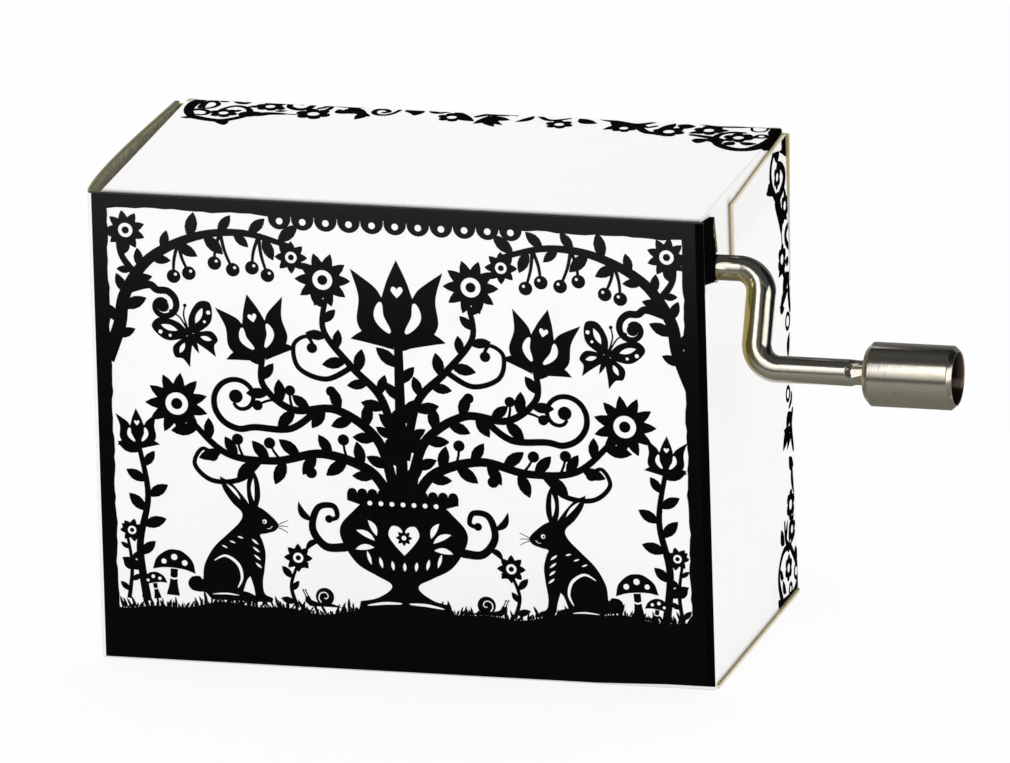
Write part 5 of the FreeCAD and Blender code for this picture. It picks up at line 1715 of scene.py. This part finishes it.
for number, (point, way) in enumerate(centre_line):
    if number:
        travelled += (point - centre_line[number - 1][0]).length
    lengths.append(travelled)
    out = across.cross(way)
    on_arm = min(ramp(number, 6, UPPER_BEND_END - 4), 1 - ramp(number, UPPER_BEND_END + 6, UPPER_BEND_END + 30))
    plain_r = WIRE_R + (ARM_R - WIRE_R) * ramp(number, 4, UPPER_BEND_END - 4)
    plain_r += (HANDLE_R - ARM_R) * ramp(number, UPPER_BEND_END + 2, UPPER_BEND_END + 27)
    if point.x > PINCH_END:
        plain_r = WIRE_R
    ring = []
    for step in range(RING):
        turned = 360 * step / RING
        angle = math.radians(turned)
        direction = out * math.cos(angle) + across * math.sin(angle)
        radius = plain_r
        if PINCH_X - 0.3 < point.x < PINCH_END + 0.01 and way == along_x:
            seen = math.atan2(direction.z, -direction.y)
            slant = 0.50 * abs(math.sin(seen - math.radians(25))) - 0.1
            share = min(ramp(point.x, PINCH_X + slant, PINCH_X + slant + 0.5),
                        1 - ramp(point.x, PINCH_END - 0.12, PINCH_END))
            radius = pinched(seen, ramp(point.x, PINCH_X, PINCH_END), share)
        elif 2 <= number < UPPER_BEND_END and direction.x < -0.2:
            fold = math.sin(math.pi * (number - 2) / BEND_STEPS) ** 3
            radius -= 0.07 * fold * (0.5 - 0.5 * math.cos(1.7 * number)) * min(1.0, -direction.x)
        vertex = bm.verts.new(point + direction * radius)
        ring.append(vertex)
        # Painted reflection and shade on the wire: gold on its lower side near the carton, and dark on its lower side
        # and along its upper side beside the wall.
        low = (turned - 270 + 180) % 360 - 180
        inside = ramp(point.x, RIGHT + 6.0, RIGHT + 5.0)
        vertex[painted_gold_reflection] = (0.85 * ramp(low, 20, 50) * (1 - on_arm) + 0.95 * ramp(low, 4, 15) * on_arm) * inside
        stub = ramp(point.x, RIGHT + 3.6, RIGHT + 2.2)
        vertex[painted_shade_and_reflection] = max(0.8 * ramp(low, 22, 62) * (1 - on_arm) * inside,
                            0.92 * ramp(low, -7, -12) * ramp(point.x, RIGHT + 2.4, RIGHT + 1.4),
                            0.80 * ramp(low, -52, -62) * stub)
    rings.append(ring)

# %% Join the rings and close both ends
def cap(ring, steps, back_to_front):
    """Closes a ring with smaller rings, as (distance along X, radius) steps, and a last flat face."""
    last = ring
    made = []
    for shift, radius in steps:
        centre = sum((vertex.co for vertex in ring), Vector()) / len(ring)
        scaled = []
        for vertex in ring:
            direction = (vertex.co - centre).normalized()
            scaled.append(bm.verts.new(centre + along_x * shift + direction * radius))
        made.append((last, scaled))
        last = scaled
    bm.faces.new(last[::-1] if back_to_front else last)
    return made


def band_face(corners, start, end, step, turn):
    """One face, with millimetres along the piece and round it as its UV map."""
    face = bm.faces.new(corners)
    places = ((start, step), (start, step + 1), (end, step + 1), (end, step))
    for loop, (length, count) in zip(face.loops, places):
        loop[uv_layer].uv = (length, count * turn)
    return face


steps_of = {id(ring): length for ring, length in zip(rings, lengths)}
peen = [(0.0, PEEN_R - 0.12), (0.05, PEEN_R), (0.22, PEEN_R - 0.03), (0.31, PEEN_R - 0.2), (0.37, 1.3), (0.40, 0.6),
        (0.405, 0.2)]
closing = cap(rings[-1], [(shift + 0.02, radius) for shift, radius in peen], False)
closing += [(small, big) for big, small in cap(rings[0], [(-0.2, WIRE_R - 0.2)], True)]
turn = 2 * math.pi * WIRE_R / RING
for first, second in [*zip(rings, rings[1:]), *closing]:
    start = steps_of.get(id(first), travelled)
    end = steps_of.get(id(second), travelled + 0.3)
    for step in range(RING):
        after = (step + 1) % RING
        band_face((first[step], first[after], second[after], second[step]), start, end, step, turn)
bmesh.ops.recalc_face_normals(bm, faces=bm.faces)
crank = finish_piece("crank", bm, [wire_nickel], "crank", ["crank_wire"], sharp=28)
crank.visible_diffuse = False
print("crank wire %.1f mm long along its centre line" % travelled)

# %% [markdown]
# ## The knob
#
# The knob is turned from bar: a sleeve with a bevel at both ends and a deep recess at the outer one. A turned piece
# is one profile spun round an axis. Real turned edges are broken by a hair, and that hair is what catches the light,
# so every corner of the profile is rounded before it is spun. The recess and the inner bevel are painted dark as
# shade; the bevel keeps a painted highlight along the one line that faces the camera, and the recess a painted
# highlight spot. A layer of the mesh holds how dark.

# %% Spin the knob
EDGE_BREAK, EDGE_STEPS = 0.07, 4
KNOB_RING = 128
# The camera's elevation: the bevel's painted highlight lies along the line that faces the camera.
PAINTED_HIGHLIGHT_TURN = math.radians(17.107)


def broken_corners(profile):
    """Closed profile with each corner replaced by a small arc."""
    made = []
    for number, corner in enumerate(profile):
        spot = Vector(corner)
        back = Vector(profile[number - 1]) - spot
        ahead = Vector(profile[(number + 1) % len(profile)]) - spot
        reach = min(EDGE_BREAK, back.length * 0.45, ahead.length * 0.45)
        first, last = spot + back.normalized() * reach, spot + ahead.normalized() * reach
        for step in range(EDGE_STEPS + 1):
            share = step / EDGE_STEPS
            made.append(first * (1 - share) ** 2 + spot * 2 * share * (1 - share) + last * share ** 2)
    return made


KNOB_LONG = knob_high.x - knob_low.x
KNOB_R = (knob_high.z - knob_low.z) / 2
BORE = WIRE_R + 0.08
RECESS_R, RECESS_DEEP = 2.62, 2.6
INNER_FACE_R, INNER_BEVEL = 2.6, 0.60
profile = [
    (0, BORE), (0, INNER_FACE_R), (INNER_BEVEL, KNOB_R), (KNOB_LONG - 0.5, KNOB_R), (KNOB_LONG, 2.78),
    (KNOB_LONG, RECESS_R + 0.06), (KNOB_LONG - 0.12, RECESS_R),
    (KNOB_LONG - 0.45, RECESS_R - 0.01), (KNOB_LONG - 0.80, RECESS_R - 0.02), (KNOB_LONG - 1.30, RECESS_R - 0.03),
    (KNOB_LONG - RECESS_DEEP, RECESS_R - 0.05),
    (KNOB_LONG - RECESS_DEEP, BORE),
]
profile = broken_corners(profile)


def on_bevel(length):
    return length < INNER_BEVEL * 0.97


def in_recess(length, radius):
    return radius < RECESS_R + 0.03 and length > 1


def knob_painted_shade(length, radius, angle):
    """How dark the knob is painted at a point, 0 to 1: painted shade on the inner bevel and in the recess, with
    painted highlights, and darker on the end face.
    """
    # Painted shade on the inner bevel, left bright as a painted highlight along the line that faces the camera.
    if on_bevel(length):
        return max(0.9 * ramp(abs(math.sin(angle + PAINTED_HIGHLIGHT_TURN)), 0.12, 0.50),
                   0.85 * ramp(length, 0.10, INNER_BEVEL * 0.85))
    if in_recess(length, radius):
        # Painted shade in the recess, lighter at the far side of its mouth, with a painted highlight spot low on the
        # far wall.
        low = math.remainder(angle, 2 * math.pi)
        mouth = ramp(length, KNOB_LONG - 0.9, KNOB_LONG - 0.1) * ramp(low, -0.75, -0.55) * ramp(low, 1.5, 0.6)
        spot = ramp(length, KNOB_LONG - 1.5, KNOB_LONG - 0.8) * ramp(abs(low + 0.50), 0.22, 0.10)
        return 1 - max(0.55 * mouth, 0.9 * spot)
    return 0.6 if length > KNOB_LONG - 0.02 else 0.0


bm = bmesh.new()
uv_layer = bm.loops.layers.uv.new("length_and_turn")
painted_shade_and_reflection = bm.verts.layers.float.new("painted_shade_and_reflection")
rings = []
for step in range(KNOB_RING):
    angle = 2 * math.pi * step / KNOB_RING
    ring = []
    for length, radius in profile:
        ring.append(bm.verts.new((
            knob_low.x + length, HANDLE_Y + radius * math.cos(angle), HANDLE_Z + radius * math.sin(angle))))
        ring[-1][painted_shade_and_reflection] = knob_painted_shade(length, radius, angle)
    rings.append(ring)
turn = 2 * math.pi * KNOB_R / KNOB_RING
for step in range(KNOB_RING):
    ring, beside = rings[step], rings[(step + 1) % KNOB_RING]
    for number in range(len(profile)):
        after = (number + 1) % len(profile)
        face = band_face((ring[number], beside[number], beside[after], ring[after]),
                         profile[number].x, profile[after].x, step, turn)
        length, radius = (profile[number] + profile[after]) / 2
        if on_bevel(length):
            face.material_index = 1
        elif length > KNOB_LONG - 0.02 or in_recess(length, radius):
            face.material_index = 2
bmesh.ops.recalc_face_normals(bm, faces=bm.faces)
finish_piece("knob", bm, [knob_nickel, bronzed, recess_metal], "knob", ["crank_knob"], sharp=24)

# %% [markdown]
# ## The movement inside
#
# The cast bedplate, brass gear train, pinned cylinder, comb and their screws are the frame's own solids. Their
# shapes are right, so they stay, and only their finish is made here: one material for each slot that the record
# names. As cast zinc is matt and mottled, brass and comb steel carry machining lines, and lead is dull and dented.

# %% Finishes of the movement, by material slot
CLOUD_SHADE = 0.82


def metal(name, colour, gloss, spot, deep, stretch=(1, 1, 1)):
    """Bare metal with clouds where air has dulled it and a fine relief; spot is the grain's size in millimetres."""
    material, tree, shader = finish(name, colour, gloss, metallic=1.0)
    cloud = between(tree, grain(tree, 2.5, detail=4.0), 0.35, 0.65)
    tree.links.new(blend(tree, cloud, [value * CLOUD_SHADE for value in colour], colour), shader.inputs["Base Color"])
    fine = grain(tree, spot, stretch=stretch, detail=4.0)
    tree.links.new(between(tree, fine, 0.3, 0.7, gloss * 0.8, gloss * 1.25), shader.inputs["Roughness"])
    relief(tree, shader, fine, deep, 0.8)
    return material


slot_finish = {
    "grey_board": chipboard("grey_chipboard", srgb(140, 136, 120), 0.4, srgb(112, 107, 92), srgb(158, 153, 136),
                            0.04, 0.8),
    "nickel_plate": metal("nickel_washer", NICKEL, 0.22, 0.3, 0.006),
    "zinc_casting": metal("zinc_as_cast", srgb(158, 160, 160), 0.48, 0.25, 0.03),
    "zinc_plated_steel": metal("zinc_plated", srgb(186, 190, 194), 0.32, 0.3, 0.008),
    "screw_steel": metal("screw_bright_zinc", srgb(192, 192, 188), 0.26, 0.2, 0.006),
    "comb_steel": metal("comb_ground_steel", srgb(182, 184, 188), 0.30, 0.3, 0.008, stretch=(0.3, 4, 1)),
    "lead_weight": metal("lead_dull", srgb(120, 122, 128), 0.60, 0.35, 0.03),
    "movement_brass": metal("brass_machined", srgb(206, 172, 98), 0.24, 0.3, 0.006, stretch=(1, 4, 1)),
}
dressed = 0
for row in frame["record"]["subparts"]:
    made = slot_finish.get(row["material_slot"])
    node = frame["nodes"][row["node"]]
    if made:
        node.data.materials.clear()
        node.data.materials.append(made)
        dressed += 1
print("nodes dressed:", dressed)
